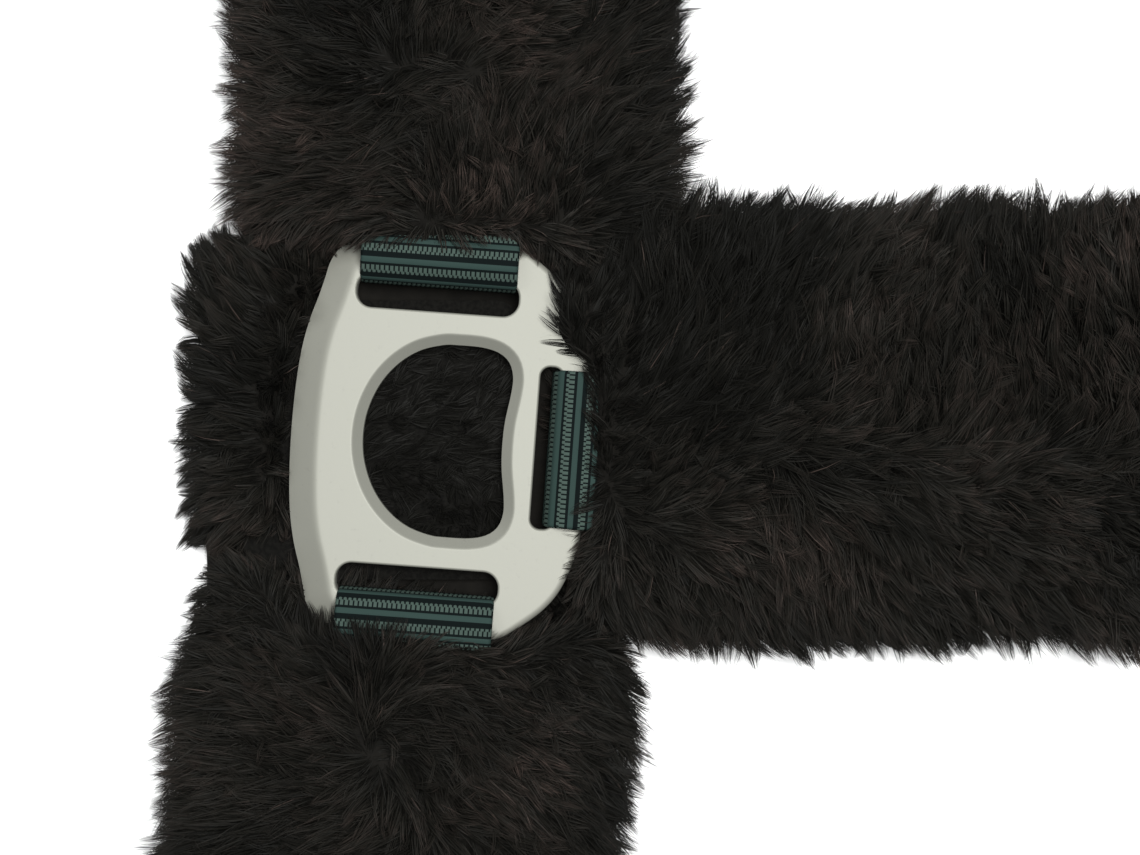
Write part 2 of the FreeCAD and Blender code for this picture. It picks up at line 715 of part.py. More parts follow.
def make_chest():
    left, right = bars["chest_left"], bars["chest_right"]
    nodes["chest_webbing"] = make_chest_webbing(left, right)
    for side, angle, way in (("left", 0, -1), ("right", 180, 1)):
        length = abs(bars[f"chest_{side}"].x) - sleeve_start - ring_gap / 2
        sleeve, closure = make_sleeve(length, way * sleeve_shift["chest"])
        along_strap("chest_sleeve", side, sleeve, angle, bars[f"chest_{side}"])
        along_strap("chest_closure", side, closure, angle, bars[f"chest_{side}"])
    middle = (left + right) * 0.5
    at = V(0, middle.y - tab_drop, ring_height)
    frames["ring"] = at
    nodes["martingale_ring"] = turned(make_ring(), 0, at)
    rise = web_z + 2 * webbing_thick + 0.2 - ring_height
    nodes["martingale_tab"] = turned(make_tab(rise), 90, at)
    top = web_z + 3 * webbing_thick + 0.2
    stitches = make_stitches(tab_drop - 10, tab_drop + 9, top - at.z)
    nodes["martingale_stitching"] = turned(stitches, 90, at)


def make_side(side):
    at, angle = bars[f"side_{side}"], side_angle[side]
    lean = plate_tilt[side] + (0 if side == "right" else 180) - angle
    webbing, slider_at, eye_at = make_side_webbing(lean)
    along_strap("side_webbing", side, webbing, angle, at)
    sleeve, closure = make_sleeve(side_sleeve, sleeve_shift[f"side_{side}"])
    along_strap("side_sleeve", side, sleeve, angle, at)
    along_strap("side_closure", side, closure, angle, at)
    level = eye_level - web_z
    slider = turned(make_slider(), 0, V(slider_at, 0, level))
    along_strap("slider", side, slider, angle, at)
    cavity = eye_wire + bar_clear
    x1 = eye_at - fold_taper * (cavity + webbing_thick)
    stitches = make_stitches(x1 - 8, x1 - 2, level + webbing_thick)
    along_strap("side_stitching", side, stitches, angle, at)
    eye = spot(eye_at, 0, angle, at + UP * level)
    frames[f"eye_{side}"] = eye
    frames[f"gate_{side}"] = spot(gate_at.x, gate_at.y, angle, eye)
    along_strap("snap_eye", side, make_snap_eye(), angle, eye)
    along_strap("snap_body", side, make_snap_body(), angle, eye)
    along_strap("snap_gate", side, make_snap_gate(), angle, eye)
    along_strap("gate_pin", side, make_gate_pin(), angle, eye)
    along_strap("gate_spring", side, make_gate_spring(), angle, eye)


def make_neck(side):
    at, angle = bars[f"neck_{side}"], 90
    sleeve, closure = make_sleeve(neck_sleeve, sleeve_shift[f"neck_{side}"])
    along_strap("neck_sleeve", side, sleeve, angle, at)
    along_strap("neck_closure", side, closure, angle, at)
    if side == "left":
        webbing, heel = make_neck_webbing_buckled(plate_tilt[side])
        level = buckle_level - web_z
        buckle = spot(heel, 0, angle, at + UP * level)
        frames["buckle"] = buckle
        nodes["buckle_frame"] = turned(make_buckle_frame(), angle, buckle)
        nodes["buckle_roller"] = turned(make_buckle_roller(), angle, buckle)
        nodes["buckle_tongue"] = turned(make_buckle_tongue(), angle, buckle)
        first = heel - keeper_from_heel
        nodes["keeper_fixed"] = turned(make_keeper(first, level), angle, at)
        nodes["keeper_sliding"] = turned(make_keeper(first - keeper_spacing, level), angle, at)
        x1 = heel - fold_taper * (buckle_wire + bar_clear + webbing_thick)
        stitches = make_stitches(x1 - 17, x1 - 2, level + webbing_thick)
        nodes["buckle_stitching"] = turned(stitches, angle, at)
    else:
        webbing, stop = make_neck_webbing_billet(plate_tilt[side])
        shell, pocket = make_billet_tip(stop)
        nodes["billet_eyelets"] = turned(make_eyelets(), angle, at)
        nodes["billet_tip"] = turned(shell.cut(pocket), angle, at)
    nodes[f"neck_webbing_{side}"] = turned(webbing, angle, at)


for side in ("left", "right"):
    make_junction(side)
make_chest()
for side in ("left", "right"):
    make_side(side)
    make_neck(side)

# The origin is the middle of the footprint, on the surface.
whole = Part.makeCompound(list(nodes.values())).optimalBoundingBox(False, False)
move = V(-(whole.XMin + whole.XMax) / 2, -(whole.YMin + whole.YMax) / 2, -whole.ZMin)

os.makedirs("parts", exist_ok=True)
for name, shape in nodes.items():
    shape.translate(move)
    shape.exportStep(f"parts/{name}.step")
print(len(nodes), "nodes", whole, move)
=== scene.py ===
import json
import math
from collections import namedtuple

import bpy
import numpy as np
from mathutils import Matrix, Vector
from mathutils.geometry import delaunay_2d_cdt
from mathutils.kdtree import KDTree


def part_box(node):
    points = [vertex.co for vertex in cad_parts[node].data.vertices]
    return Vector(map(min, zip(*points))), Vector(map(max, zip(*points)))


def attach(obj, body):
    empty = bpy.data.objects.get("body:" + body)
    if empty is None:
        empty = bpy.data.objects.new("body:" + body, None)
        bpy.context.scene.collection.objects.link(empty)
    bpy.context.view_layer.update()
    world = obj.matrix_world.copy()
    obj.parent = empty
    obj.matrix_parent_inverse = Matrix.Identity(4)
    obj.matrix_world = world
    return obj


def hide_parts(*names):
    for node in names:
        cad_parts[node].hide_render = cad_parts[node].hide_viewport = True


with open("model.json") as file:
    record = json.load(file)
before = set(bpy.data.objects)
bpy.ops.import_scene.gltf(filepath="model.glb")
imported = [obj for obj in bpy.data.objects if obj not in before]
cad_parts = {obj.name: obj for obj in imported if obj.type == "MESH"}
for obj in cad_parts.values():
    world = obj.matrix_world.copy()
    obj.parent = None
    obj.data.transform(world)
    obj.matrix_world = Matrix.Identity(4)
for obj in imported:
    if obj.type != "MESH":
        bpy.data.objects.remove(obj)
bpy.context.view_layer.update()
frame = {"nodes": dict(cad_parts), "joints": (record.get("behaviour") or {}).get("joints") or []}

# A fur-covered breastplate, laid flat. Metres, in the part's frame: +X along the chest band,
# +Y towards the withers, +Z up. Lengths named in millimetres are multiplied by MM.
MM = 0.001
JOINTS = {j["name"]: j for j in frame["joints"]}
NODES = frame["nodes"]
SIDES = ("left", "right")
WEB_WIDE = 30 * MM
WEB_THICK = 1.8 * MM
SLOT_OFFSET = -1.5 * MM
PHOTO_SIDE = "right"        # the junction that the camera looks at


# ---- where things are ----
def joint_at(name):
    return Vector(JOINTS[name]["pos_m"])


def turn(angle):
    return Matrix.Rotation(angle, 4, "Z")


def placed(at, angle):
    return Matrix.Translation(at) @ turn(angle)


TILT, CENTRE = {}, {}
for side in SIDES:
    lean_x, lean_y, _ = JOINTS[f"neck_fold_{side}"]["axis"]
    TILT[side] = math.atan2(lean_y, lean_x)
    middle = (joint_at(f"plate_fold_{side}") + joint_at(f"side_fold_{side}")) / 2
    CENTRE[side] = middle - turn(TILT[side]) @ Vector((0, SLOT_OFFSET, 0))
PLATE_LOW, PLATE_HIGH = (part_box(f"plate_{PHOTO_SIDE}")[i][2] for i in (0, 1))


# ---- camera, light and floor ----
VIEW_WIDE = 217 * MM        # what the picture's width covers at the plate's face
VIEW_SHIFT = (-2.4 * MM, 25.7 * MM)     # the picture's middle, from the plate's middle
FLOOR_FAR, FLOOR_DROP = 6.0, 0.2 * MM


def make_camera():
    data = bpy.data.cameras.new("camera")
    data.lens, data.sensor_width = 85, 36
    data.clip_start, data.clip_end = 0.01, 50
    camera = bpy.data.objects.new("camera", data)
    bpy.context.collection.objects.link(camera)
    centre = CENTRE[PHOTO_SIDE]
    away = VIEW_WIDE * data.lens / data.sensor_width
    place = Vector((centre.x + VIEW_SHIFT[0], centre.y + VIEW_SHIFT[1], PLATE_HIGH + away))
    camera.matrix_world = Matrix.Translation(place) @ turn(math.pi / 2)
    bpy.context.scene.camera = camera


def make_light(name, place, aim, size, watts):
    data = bpy.data.lights.new(name, "AREA")
    data.shape, data.size, data.energy = "DISK", size, watts
    light = bpy.data.objects.new(name, data)
    bpy.context.collection.objects.link(light)
    light.location = place
    light.rotation_euler = (Vector(aim) - Vector(place)).to_track_quat("-Z", "Y").to_euler()


def principled(name, colour, roughness, metallic=0.0, **sockets):
    material = bpy.data.materials.new(name)
    material.use_nodes = True
    shader = material.node_tree.nodes["Principled BSDF"]
    shader.inputs["Base Color"].default_value = (*colour, 1)
    shader.inputs["Roughness"].default_value = roughness
    shader.inputs["Metallic"].default_value = metallic
    for socket, value in sockets.items():
        shader.inputs[socket.replace("_", " ")].default_value = value
    return material


def noisy(name, colour, other, roughness, metallic, scale, bump, detail=6, span=(0.35, 0.65),
          depth=0.3 * MM, **sockets):
    """A principled material whose colour and surface vary a little, from object coordinates."""
    material = principled(name, colour, roughness, metallic, **sockets)
    nodes, links = material.node_tree.nodes, material.node_tree.links
    shader = nodes["Principled BSDF"]
    where, grain = nodes.new("ShaderNodeTexCoord"), nodes.new("ShaderNodeTexNoise")
    grain.inputs["Scale"].default_value, grain.inputs["Detail"].default_value = scale, detail
    links.new(where.outputs["Object"], grain.inputs["Vector"])
    ramp = nodes.new("ShaderNodeValToRGB")
    ramp.color_ramp.elements[0].position, ramp.color_ramp.elements[1].position = span
    ramp.color_ramp.elements[0].color, ramp.color_ramp.elements[1].color = (*other, 1), (*colour, 1)
    links.new(grain.outputs["Fac"], ramp.inputs["Fac"])
    links.new(ramp.outputs["Color"], shader.inputs["Base Color"])
    raised = nodes.new("ShaderNodeBump")
    raised.inputs["Strength"].default_value, raised.inputs["Distance"].default_value = bump, depth
    links.new(grain.outputs["Fac"], raised.inputs["Height"])
    links.new(raised.outputs["Normal"], shader.inputs["Normal"])
    return material


def make_stage():
    mesh = bpy.data.meshes.new("floor")
    far = FLOOR_FAR
    mesh.from_pydata([(-far, -far, 0), (far, -far, 0), (far, far, 0), (-far, far, 0)], [], [(0, 1, 2, 3)])
    floor = bpy.data.objects.new("floor", mesh)
    bpy.context.collection.objects.link(floor)
    mesh.materials.append(principled("pale_floor", (0.96, 0.96, 0.955), 0.8))
    floor.location.z = -FLOOR_DROP
    world = bpy.data.worlds.new("studio")
    world.use_nodes = True
    background = world.node_tree.nodes["Background"]
    background.inputs["Color"].default_value = (0.95, 0.97, 1.0, 1)
    background.inputs["Strength"].default_value = 0.34
    bpy.context.scene.world = world
    bpy.context.scene.view_settings.view_transform = "Standard"
    centre = CENTRE[PHOTO_SIDE]
    make_light("overhead", (centre.x - 0.15, centre.y + 0.25, 1.5), centre, 0.8, 40)
    make_light("side_fill", (-1.2, -1.6, 1.6), (0, 0, 0), 1.2, 20)


# ---- meshes ----
NOISE_CELLS = 32


def add_mesh(name, points, faces, materials, body, indices=None):
    """A smooth-shaded piece that rides on a body."""
    mesh = bpy.data.meshes.new(name)
    mesh.from_pydata([tuple(p) for p in points], [], [tuple(f) for f in faces])
    for material in materials:
        mesh.materials.append(material)
    if indices is not None:
        mesh.polygons.foreach_set("material_index", np.asarray(indices, np.int32))
    mesh.polygons.foreach_set("use_smooth", np.ones(len(mesh.polygons), bool))
    mesh.update()
    piece = bpy.data.objects.new(name, mesh)
    bpy.context.collection.objects.link(piece)
    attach(piece, body)
    return piece


def value_noise(points, scale, seed):
    """Smooth noise from -1 to 1 at each point, with features about scale across."""
    size = NOISE_CELLS
    grid = np.random.default_rng(seed).random((size, size, size))
    p = points / scale + 7.3
    low = np.floor(p).astype(int)
    f = p - low
    f = f * f * (3 - 2 * f)
    total = np.zeros(len(points))
    for corner in range(8):
        step = np.array([corner & 1, corner >> 1 & 1, corner >> 2 & 1])
        weight = np.prod(np.where(step, f, 1 - f), axis=1)
        i, j, k = ((low + step) % size).T
        total += weight * grid[i, j, k]
    return total * 2 - 1


def unit(v):
    """Each row scaled to length 1."""
    return v / np.maximum(np.linalg.norm(v, axis=1, keepdims=True), 1e-12)


def ease(t):
    """From 0 to 1 with soft ends."""
    t = np.clip(t, 0, 1)
    return t * t * (3 - 2 * t)


# ---- fur ----
# Fur shades from darkest to lightest. The fur's own colour is dark brown; the lightest steps also stand for
# painted sheen and highlight on tips and tufts, and the darkest for painted shade deep in the pile.
FUR_SHADES = (
    ("fur_black", (0.0042, 0.0041, 0.0031)),
    ("fur_deep", (0.0070, 0.0066, 0.0050)),
    ("fur_brown", (0.0110, 0.0098, 0.0077)),
    ("fur_warm", (0.0190, 0.0150, 0.0122)),
    ("fur_highlight", (0.0400, 0.0290, 0.0240)),
)
STEPS = (0.0, 0.36, 0.72, 1.0)          # where along a hair its points are
TAPER = (1.0, 0.85, 0.5)                # its width at each point but the tip
LOCK_SIZE, LOCK_PULL = 2.6 * MM, 0.8
UPRIGHT, LAID = 0.62, 0.72              # how much of a hair's heading is normal, and how much is combed
HAIR_WILD, LOCK_WILD = 0.30, 0.34
HAIR_FLOOR = 0.25 * MM
PIECE_HAIRS = 36000


def fur_materials():
    shades = []
    for name, colour in FUR_SHADES:
        shades.append(principled(name, colour, 0.7, Specular_IOR_Level=0.13))
    return shades


def fur_skin_material():
    """The dark pile between the hairs, mottled and matte: near-black partly as the pile's own colour and
    partly as painted shade deep between the hairs.
    """
    light, dark = (0.008, 0.0072, 0.0058), (0.002, 0.0019, 0.0015)
    return noisy("fur_skin", light, dark, 0.9, 0.0, 420, 0.0, span=(0.0, 1.0), Specular_IOR_Level=0.1)


def soft_grid(length, half_wide, half_high, along=60, around=76):
    """A padded roll along +X from 0 to length, its corners rounded in plan: (points, faces)."""
    def drawn_in(distance, reach):
        part = max(reach - distance, 0)
        return reach - math.sqrt(max(reach * reach - part * part, 0))
    t = np.linspace(0, 1, along)
    x = length * (0.5 - 0.5 * np.cos(math.pi * t)) * 0.5 + length * t * 0.5
    rings = []
    for s in x:
        edge = min(s, length - s)
        w = half_wide - drawn_in(edge, NEAR_CORNER if s < length / 2 else FAR_CORNER)
        h = half_high - drawn_in(edge, SOFT_END)
        phi = np.linspace(0, 2 * math.pi, around, endpoint=False)
        c, q = np.cos(phi), np.sin(phi)
        y = w * np.sign(c) * np.abs(c) ** 0.62
        z = h * np.sign(q) * np.abs(q) ** 0.72
        rings.append(np.stack([np.full(around, s), y, z], 1))
    points = np.concatenate(rings)
    faces = []
    for i in range(along - 1):
        for j in range(around):
            a, b = i * around + j, i * around + (j + 1) % around
            faces.append((a, b, b + around, a + around))
    last = (along - 1) * around
    faces.append(tuple(range(around - 1, -1, -1)))
    faces.append(tuple(last + j for j in range(around)))
    return points, faces


def triangles_of(faces):
    """The faces cut into triangles."""
    out = []
    for f in faces:
        out += [(f[0], f[i], f[i + 1]) for i in range(1, len(f) - 1)]
    return np.array(out)


def vertex_normals(points, triangles):
    a, b, c = (points[triangles[:, i]] for i in range(3))
    face = np.cross(b - a, c - a)
    normals = np.zeros_like(points)
    for i in range(3):
        np.add.at(normals, triangles[:, i], face)
    return unit(normals)


def scatter(points, triangles, density, rng):
    """Roots on a surface: density(place, normal) gives hairs per square metre."""
    normals = vertex_normals(points, triangles)
    a, b, c = (points[triangles[:, i]] for i in range(3))
    area = np.linalg.norm(np.cross(b - a, c - a), axis=1) / 2
    middle = (a + b + c) / 3
    face_normal = unit(np.cross(b - a, c - a))
    wanted = area * density(middle, face_normal)
    count = int(wanted.sum())
    pick = rng.choice(len(area), count, p=wanted / wanted.sum())
    u, v = rng.random((2, count, 1))
    u, v = np.where(u + v > 1, 1 - u, u), np.where(u + v > 1, 1 - v, v)
    tri = triangles[pick]
    corner = [points[tri[:, i]] for i in range(3)]
    lean = [normals[tri[:, i]] for i in range(3)]
    place = corner[0] + u * (corner[1] - corner[0]) + v * (corner[2] - corner[0])
    normal = unit(lean[0] + u * (lean[1] - lean[0]) + v * (lean[2] - lean[0]))
    return place, normal


def lock_tree(centres):
    tree = KDTree(len(centres))
    for i, p in enumerate(centres):
        tree.insert(p, i)
    tree.balance()
    return tree


def comb(place, normal, flow, length, rng):
    """Each hair's points, gathered into locks: an array of hairs x steps x 3."""
    count = len(place)
    lock_count = max(int(hair_area(place) / LOCK_SIZE ** 2), 8)
    lock_of = rng.choice(count, min(lock_count, count), replace=False)
    tree = lock_tree(place[lock_of])
    nearest = np.array([tree.find(p)[1] for p in place])
    chief = lock_of[nearest]
    tangent = unit(flow - (flow * normal).sum(1, keepdims=True) * normal)
    combed = normal * UPRIGHT + tangent * LAID
    heading = unit(combed + rng.normal(0, HAIR_WILD, (count, 3)))
    lock_heading = unit(combed + rng.normal(0, LOCK_WILD, (count, 3)))[chief]
    lock_long = length[chief] * (0.8 + 0.45 * rng.random(count))[chief]
    heading = unit(heading * 0.45 + lock_heading * 0.55)
    fall = tangent * 0.22 + np.array([0, 0, -0.20])
    hairs = np.empty((count, len(STEPS), 3))
    long = length[:, None]
    for i, u in enumerate(STEPS):
        own = place + long * (u * heading + u * u * fall)
        core = place[chief] + lock_long[:, None] * (u * lock_heading + u * u * fall[chief])
        spread = (place - place[chief]) * (1 - 0.9 * u)
        amount = LOCK_PULL * u ** 1.3
        hairs[:, i] = own * (1 - amount) + (core + spread) * amount
    return hairs, chief


def hair_area(place):
    """The surface that the roots cover, from how far off each one's neighbours are."""
    tree = lock_tree(place)
    sample = place[::max(len(place) // 500, 1)]
    reach = np.array([tree.find_n(p, 9)[-1][2] for p in sample])
    return len(place) * np.mean(math.pi * reach ** 2) / 8


def make_hairs(name, body, hairs, shade, rng):
    """Tapered blades for the hairs, in pieces of at most PIECE_HAIRS hairs."""
    hairs = hairs.copy()
    hairs[..., 2] = np.maximum(hairs[..., 2], HAIR_FLOOR)
    order = np.argsort(hairs[:, 0, 0] + 0.01 * hairs[:, 0, 1], kind="stable")
    parts = max(math.ceil(len(hairs) / PIECE_HAIRS), 1)
    for part, chosen in enumerate(np.array_split(order, parts)):
        h = hairs[chosen]
        n = len(h)
        along = unit(h[:, -1] - h[:, 0])
        side = unit(np.cross(along, unit(rng.normal(0, 1, (n, 3)))))
        wide = near_photo(h[:, 0], CLOSE_HAIR, FAR_HAIR)[:, None] * (0.7 + 0.6 * rng.random((n, 1)))
        points = np.empty((n, 7, 3))
        for i, taper in enumerate(TAPER):
            points[:, 2 * i] = h[:, i] - side * wide * taper / 2
            points[:, 2 * i + 1] = h[:, i] + side * wide * taper / 2
        points[:, 6] = h[:, 3]
        base = np.arange(n)[:, None] * 7
        quads = np.concatenate([base + [0, 1, 3, 2], base + [2, 3, 5, 4]], 1).reshape(-1, 4)
        tips = base + [4, 5, 6]
        mesh = bpy.data.meshes.new(f"{name}_{part + 1}")
        loops = np.concatenate([quads.ravel(), tips.ravel()])
        sizes = np.concatenate([np.full(len(quads), 4), np.full(len(tips), 3)])
        mesh.vertices.add(n * 7)
        mesh.vertices.foreach_set("co", points.astype(np.float32).ravel())
        mesh.loops.add(len(loops))
        mesh.loops.foreach_set("vertex_index", loops.astype(np.int32))
        mesh.polygons.add(len(sizes))
        mesh.polygons.foreach_set("loop_start", (np.cumsum(sizes) - sizes).astype(np.int32))
        tone = shade[chosen]
        # Painted shade and sheen along each hair: the root blade is one shade darker, as shade deep in the
        # pile, and the tip one shade lighter, as sheen. Hairs of the darkest shade stay darkest at the tip.
        root = np.maximum(tone - 1, 0)
        tip = np.where(tone == 0, 0, np.minimum(tone + 1, 4))
        index = np.concatenate([np.stack([root, tone], 1).ravel(), tip])
        for material in FUR:
            mesh.materials.append(material)
        mesh.polygons.foreach_set("material_index", index.astype(np.int32))
        mesh.polygons.foreach_set("use_smooth", np.ones(len(sizes), bool))
        mesh.update(calc_edges=True)
        mesh.validate()
        piece = bpy.data.objects.new(mesh.name, mesh)
        bpy.context.collection.objects.link(piece)
        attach(piece, body)


def shade_of(place, chief, rng, seed):
    """Which shade each hair has: dark, with warmer patches and locks. The patches are partly the fur's own
    uneven tone and partly painted sheen on lighter tufts.
    """
    sheen_and_tone_patch = value_noise(place, 24 * MM, seed) * 0.6 + value_noise(place, 8 * MM, seed + 1) * 0.4
    lock = rng.random(len(place))[chief]
    tone = 1.15 + 2.6 * sheen_and_tone_patch + 0.9 * (lock - 0.5) + 0.9 * (rng.random(len(place)) - 0.5)
    tone = np.clip(np.round(tone), 0, 3).astype(int)
    return np.where(rng.random(len(place)) < 0.004, 4, tone)


def swirl(place, out, seed, strength=0.8):
    """A combing direction that turns slowly over the surface about out."""
    flow = out.copy()
    for axis in range(3):
        flow[:, axis] += strength * value_noise(place, 34 * MM, seed + axis)
        flow[:, axis] += 0.5 * strength * value_noise(place, 12 * MM, seed + 5 + axis)
    return flow


def near_photo(place, close, far):
    """The value close for places that the camera sees, falling off to far round them."""
    centre = np.array(CENTRE[PHOTO_SIDE].xy) + SEEN_SHIFT
    away = (np.abs(place[:, :2] - centre) / SEEN_HALF).max(axis=1)
    blend = np.clip((1.15 - away) / 0.3, 0, 1)
    return far + (close - far) * blend


FUR = fur_materials()
SKIN = fur_skin_material()
CLOSE_HAIRS, FAR_HAIRS = 6.5e6, 1.7e6   # for each square metre
CLOSE_HAIR, FAR_HAIR = 0.20 * MM, 0.36 * MM
OVER_BAR = 3.2 * MM         # how far the pile reaches past its sleeve's end, over the bar
SEEN_SHIFT, SEEN_HALF = (0, 26 * MM), (96 * MM, 112 * MM)   # the middle and size of what the camera sees
SKIN_WIDER, SKIN_LOWER, SKIN_LIFT = 0.4 * MM, 2.2 * MM, 0.9 * MM    # the soft roll against its CAD sleeve
NEAR_CORNER, FAR_CORNER, SOFT_END = 7 * MM, 14 * MM, 6 * MM
LAP_LONG, LAP_EDGE = 34 * MM, 7 * MM    # how far along and how softly across a corner's lap fades
FLARE_LONG, FLARE_FROM, FLARE_EDGE = 75 * MM, 8 * MM, 20 * MM
SLEEVE_PILE, SLEEVE_SWING = 8.6 * MM, 2.2 * MM      # the hairs' length, and how much it varies
SHORT_END, SHORT_SHARE = 12 * MM, 0.55              # the pile is shorter beside the plate


def corners_of(node):
    """The points of a CAD node's mesh, in the frame."""
    mesh = NODES[node].data
    points = np.empty(len(mesh.vertices) * 3, np.float32)
    mesh.vertices.foreach_get("co", points)
    world = np.array(NODES[node].matrix_world)
    return points.reshape(-1, 3) @ world[:3, :3].T + world[:3, 3]


def make_sleeve(name, body, bar, angle, node, seed, laps, flare=0.0):
    """A fur sleeve over its webbing: a soft roll, and the hairs on it."""
    matrix = np.array(placed(Vector((bar.x, bar.y, 0)), angle))
    back = np.array(placed(Vector((bar.x, bar.y, 0)), angle).inverted())
    local = corners_of(node) @ back[:3, :3].T + back[:3, 3]
    x0, y0, z0 = local.min(0)
    x1, y1, z1 = local.max(0)
    x0 -= OVER_BAR
    half_wide, half_high = (y1 - y0) / 2 + SKIN_WIDER, (z1 - z0) / 2 - SKIN_LOWER
    points, faces = soft_grid(x1 - x0, half_wide, half_high)
    points += [x0, (y0 + y1) / 2, half_high + SKIN_LIFT]
    start = ease(1 - (points[:, 0] - x0) / LAP_LONG)
    for way, lap in zip((1, -1), laps):
        beside = ease((way * points[:, 1] - lap.start) / LAP_EDGE)
        points[:, 0] -= lap.reach * start * beside
    high_side = ease((points[:, 1] - FLARE_FROM) / FLARE_EDGE)
    points[:, 1] += flare * ease(1 - (points[:, 0] - x0) / FLARE_LONG) * high_side
    rough = value_noise(points, 30 * MM, seed) * 1.1 * MM
    centre_line = points * [1, 0, 0] + [0, (y0 + y1) / 2, half_high]
    points += unit(points - centre_line) * rough[:, None]
    points[:, 2] = np.maximum(points[:, 2], 0.6 * MM)
    points = points @ matrix[:3, :3].T + matrix[:3, 3]
    skin = add_mesh(name, points, faces, [SKIN], body)
    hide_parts(node)
    triangles = triangles_of(faces)
    rng = np.random.default_rng(seed)

    def density(place, normal):
        amount = near_photo(place, CLOSE_HAIRS, FAR_HAIRS)
        return amount * np.where(normal[:, 2] < -0.35, 0.12, 1.0)

    place, normal = scatter(points, triangles, density, rng)
    local = place @ back[:3, :3].T + back[:3, 3]
    along, across = matrix[:3, 0], matrix[:3, 1]
    side = (local[:, 1] - (y0 + y1) / 2) / half_wide
    out = across * side[:, None] + along * 0.35
    flow = swirl(place, out, seed + 20)
    grown = SHORT_SHARE + (1 - SHORT_SHARE) * np.clip((local[:, 0] - x0) / SHORT_END, 0, 1)
    length = (SLEEVE_PILE + SLEEVE_SWING * value_noise(place, 15 * MM, seed + 40)) * grown
    length *= 0.85 + 0.3 * rng.random(len(place))
    hairs, chief = comb(place, normal, flow, length, rng)
    clear_of_plate(hairs, node.rsplit("_", 1)[1])
    shade = shade_of(place, chief, rng, seed + 60)
    make_hairs(f"{name}_hair", body, hairs, shade, rng)


# How far a sleeve's corner comes beside the plate, and how far out from the middle that starts: first
# the corner towards the belly (on a neck strap, towards the side strap), then the other one.
Lap = namedtuple("Lap", "reach start")
LAPS = {
    "chest": (Lap(-2.5 * MM, 15 * MM), Lap(4.5 * MM, 17 * MM)),
    "side": (Lap(9.5 * MM, 22.5 * MM), Lap(3 * MM, 17.5 * MM)),
    "neck": (Lap(3 * MM, 17.5 * MM), Lap(6.5 * MM, 15.5 * MM)),
}


def make_sleeves():
    for n, side in enumerate(SIDES):
        seed = 100 * n
        ways = {"chest": "plate_fold", "side": "side_fold", "neck": "neck_fold"}
        for k, (strap, joint) in enumerate(ways.items()):
            bar = joint_at(f"{joint}_{side}")
            node = f"{strap}_sleeve_{side}"
            if strap == "chest":
                angle = 0.0 if side == "left" else math.pi
            elif strap == "neck":
                angle = math.pi / 2
            else:
                eye = joint_at(f"eye_hinge_{side}")
                angle = math.atan2(eye.y - bar.y, eye.x - bar.x)
            body = "chest" if strap == "chest" else f"{strap}_{side}"
            flare = 3 * MM if (strap, side) == ("side", PHOTO_SIDE) else 0.0
            laps = LAPS[strap] if (strap == "chest") == (side == "right") else LAPS[strap][::-1]
            make_sleeve(f"fur_{strap}_{side}", body, bar, angle, node, seed + 7 * k + 1, laps, flare)


# ---- junction plates ----
PLATE_END, PLATE_BELLY, PLATE_TOP = 38 * MM, 27.7 * MM, 29.5 * MM
WINDOW_LONG, WINDOW_HIGH = 18.4 * MM, 13.9 * MM
SLOT_IN, SLOT_WIDE, SLOT_HALF = 24.4 * MM, 6.6 * MM, 15.5 * MM
SIDE_SLOT_IN, SIDE_SLOT_WIDE = 19.1 * MM, 4.4 * MM
SLOT_LIP, SLOT_ROUND = 0.3 * MM, 0.45 * MM
RIM_WIDE, RIM_TALL = 1.3 * MM, 1.0 * MM
SLOPE_WIDE, SLOPE_TALL = 5.7 * MM, 2.9 * MM         # the long slope on the belly side
SLOPE_FROM, SLOPE_EDGE = 14.5 * MM, 4 * MM
GRID = 3.0                                          # spacing of the face's inner points, in mm
# Rings of points beside each edge, as shares of its rounding's width
RING_SHARES = (0, 0.05, 0.15, 0.3, 0.45, 0.6, 0.72, 0.8, 0.86, 0.92, 0.97, 1.02, 1.12)


def smooth_line(points, step=0.7 * MM):
    """Evenly spaced points on a smooth closed curve through the given ones."""
    p = np.array(points, float)
    p = np.vstack([p[-1:], p, p[:2]])
    out = []
    for a, b, c, d in zip(p, p[1:], p[2:], p[3:]):
        n = max(int(np.linalg.norm(c - b) / step), 2)
        t = np.linspace(0, 1, n, endpoint=False)[:, None]
        out.append(0.5 * (2 * b + (c - a) * t + (2 * a - 5 * b + 4 * c - d) * t ** 2
                          + (3 * b - a - 3 * c + d) * t ** 3))
    return np.vstack(out)


def round_box(x0, x1, y0, y1, r, steps=10):
    """A rectangle with round corners."""
    corners = ((x1 - r, y0 + r, -90), (x1 - r, y1 - r, 0), (x0 + r, y1 - r, 90), (x0 + r, y0 + r, 180))
    turns = np.radians(np.linspace(0, 90, steps))
    bends = [np.stack([x + r * np.cos(turns + math.radians(a)), y + r * np.sin(turns + math.radians(a))], 1)
             for x, y, a in corners]
    return refine(np.vstack(bends), 0.8 * MM)


def refine(loop, step):
    """The closed loop with points added along its longer runs."""
    out = []
    for a, b in zip(loop, np.roll(loop, -1, 0)):
        n = max(int(np.linalg.norm(b - a) / step), 1)
        out.append(a + (b - a) * np.linspace(0, 1, n, endpoint=False)[:, None])
    return np.vstack(out)


def mirrored(half):
    """The smooth closed curve whose +X half goes through the points."""
    return smooth_line(half + [(-x, y) for x, y in half[1:-1]][::-1])


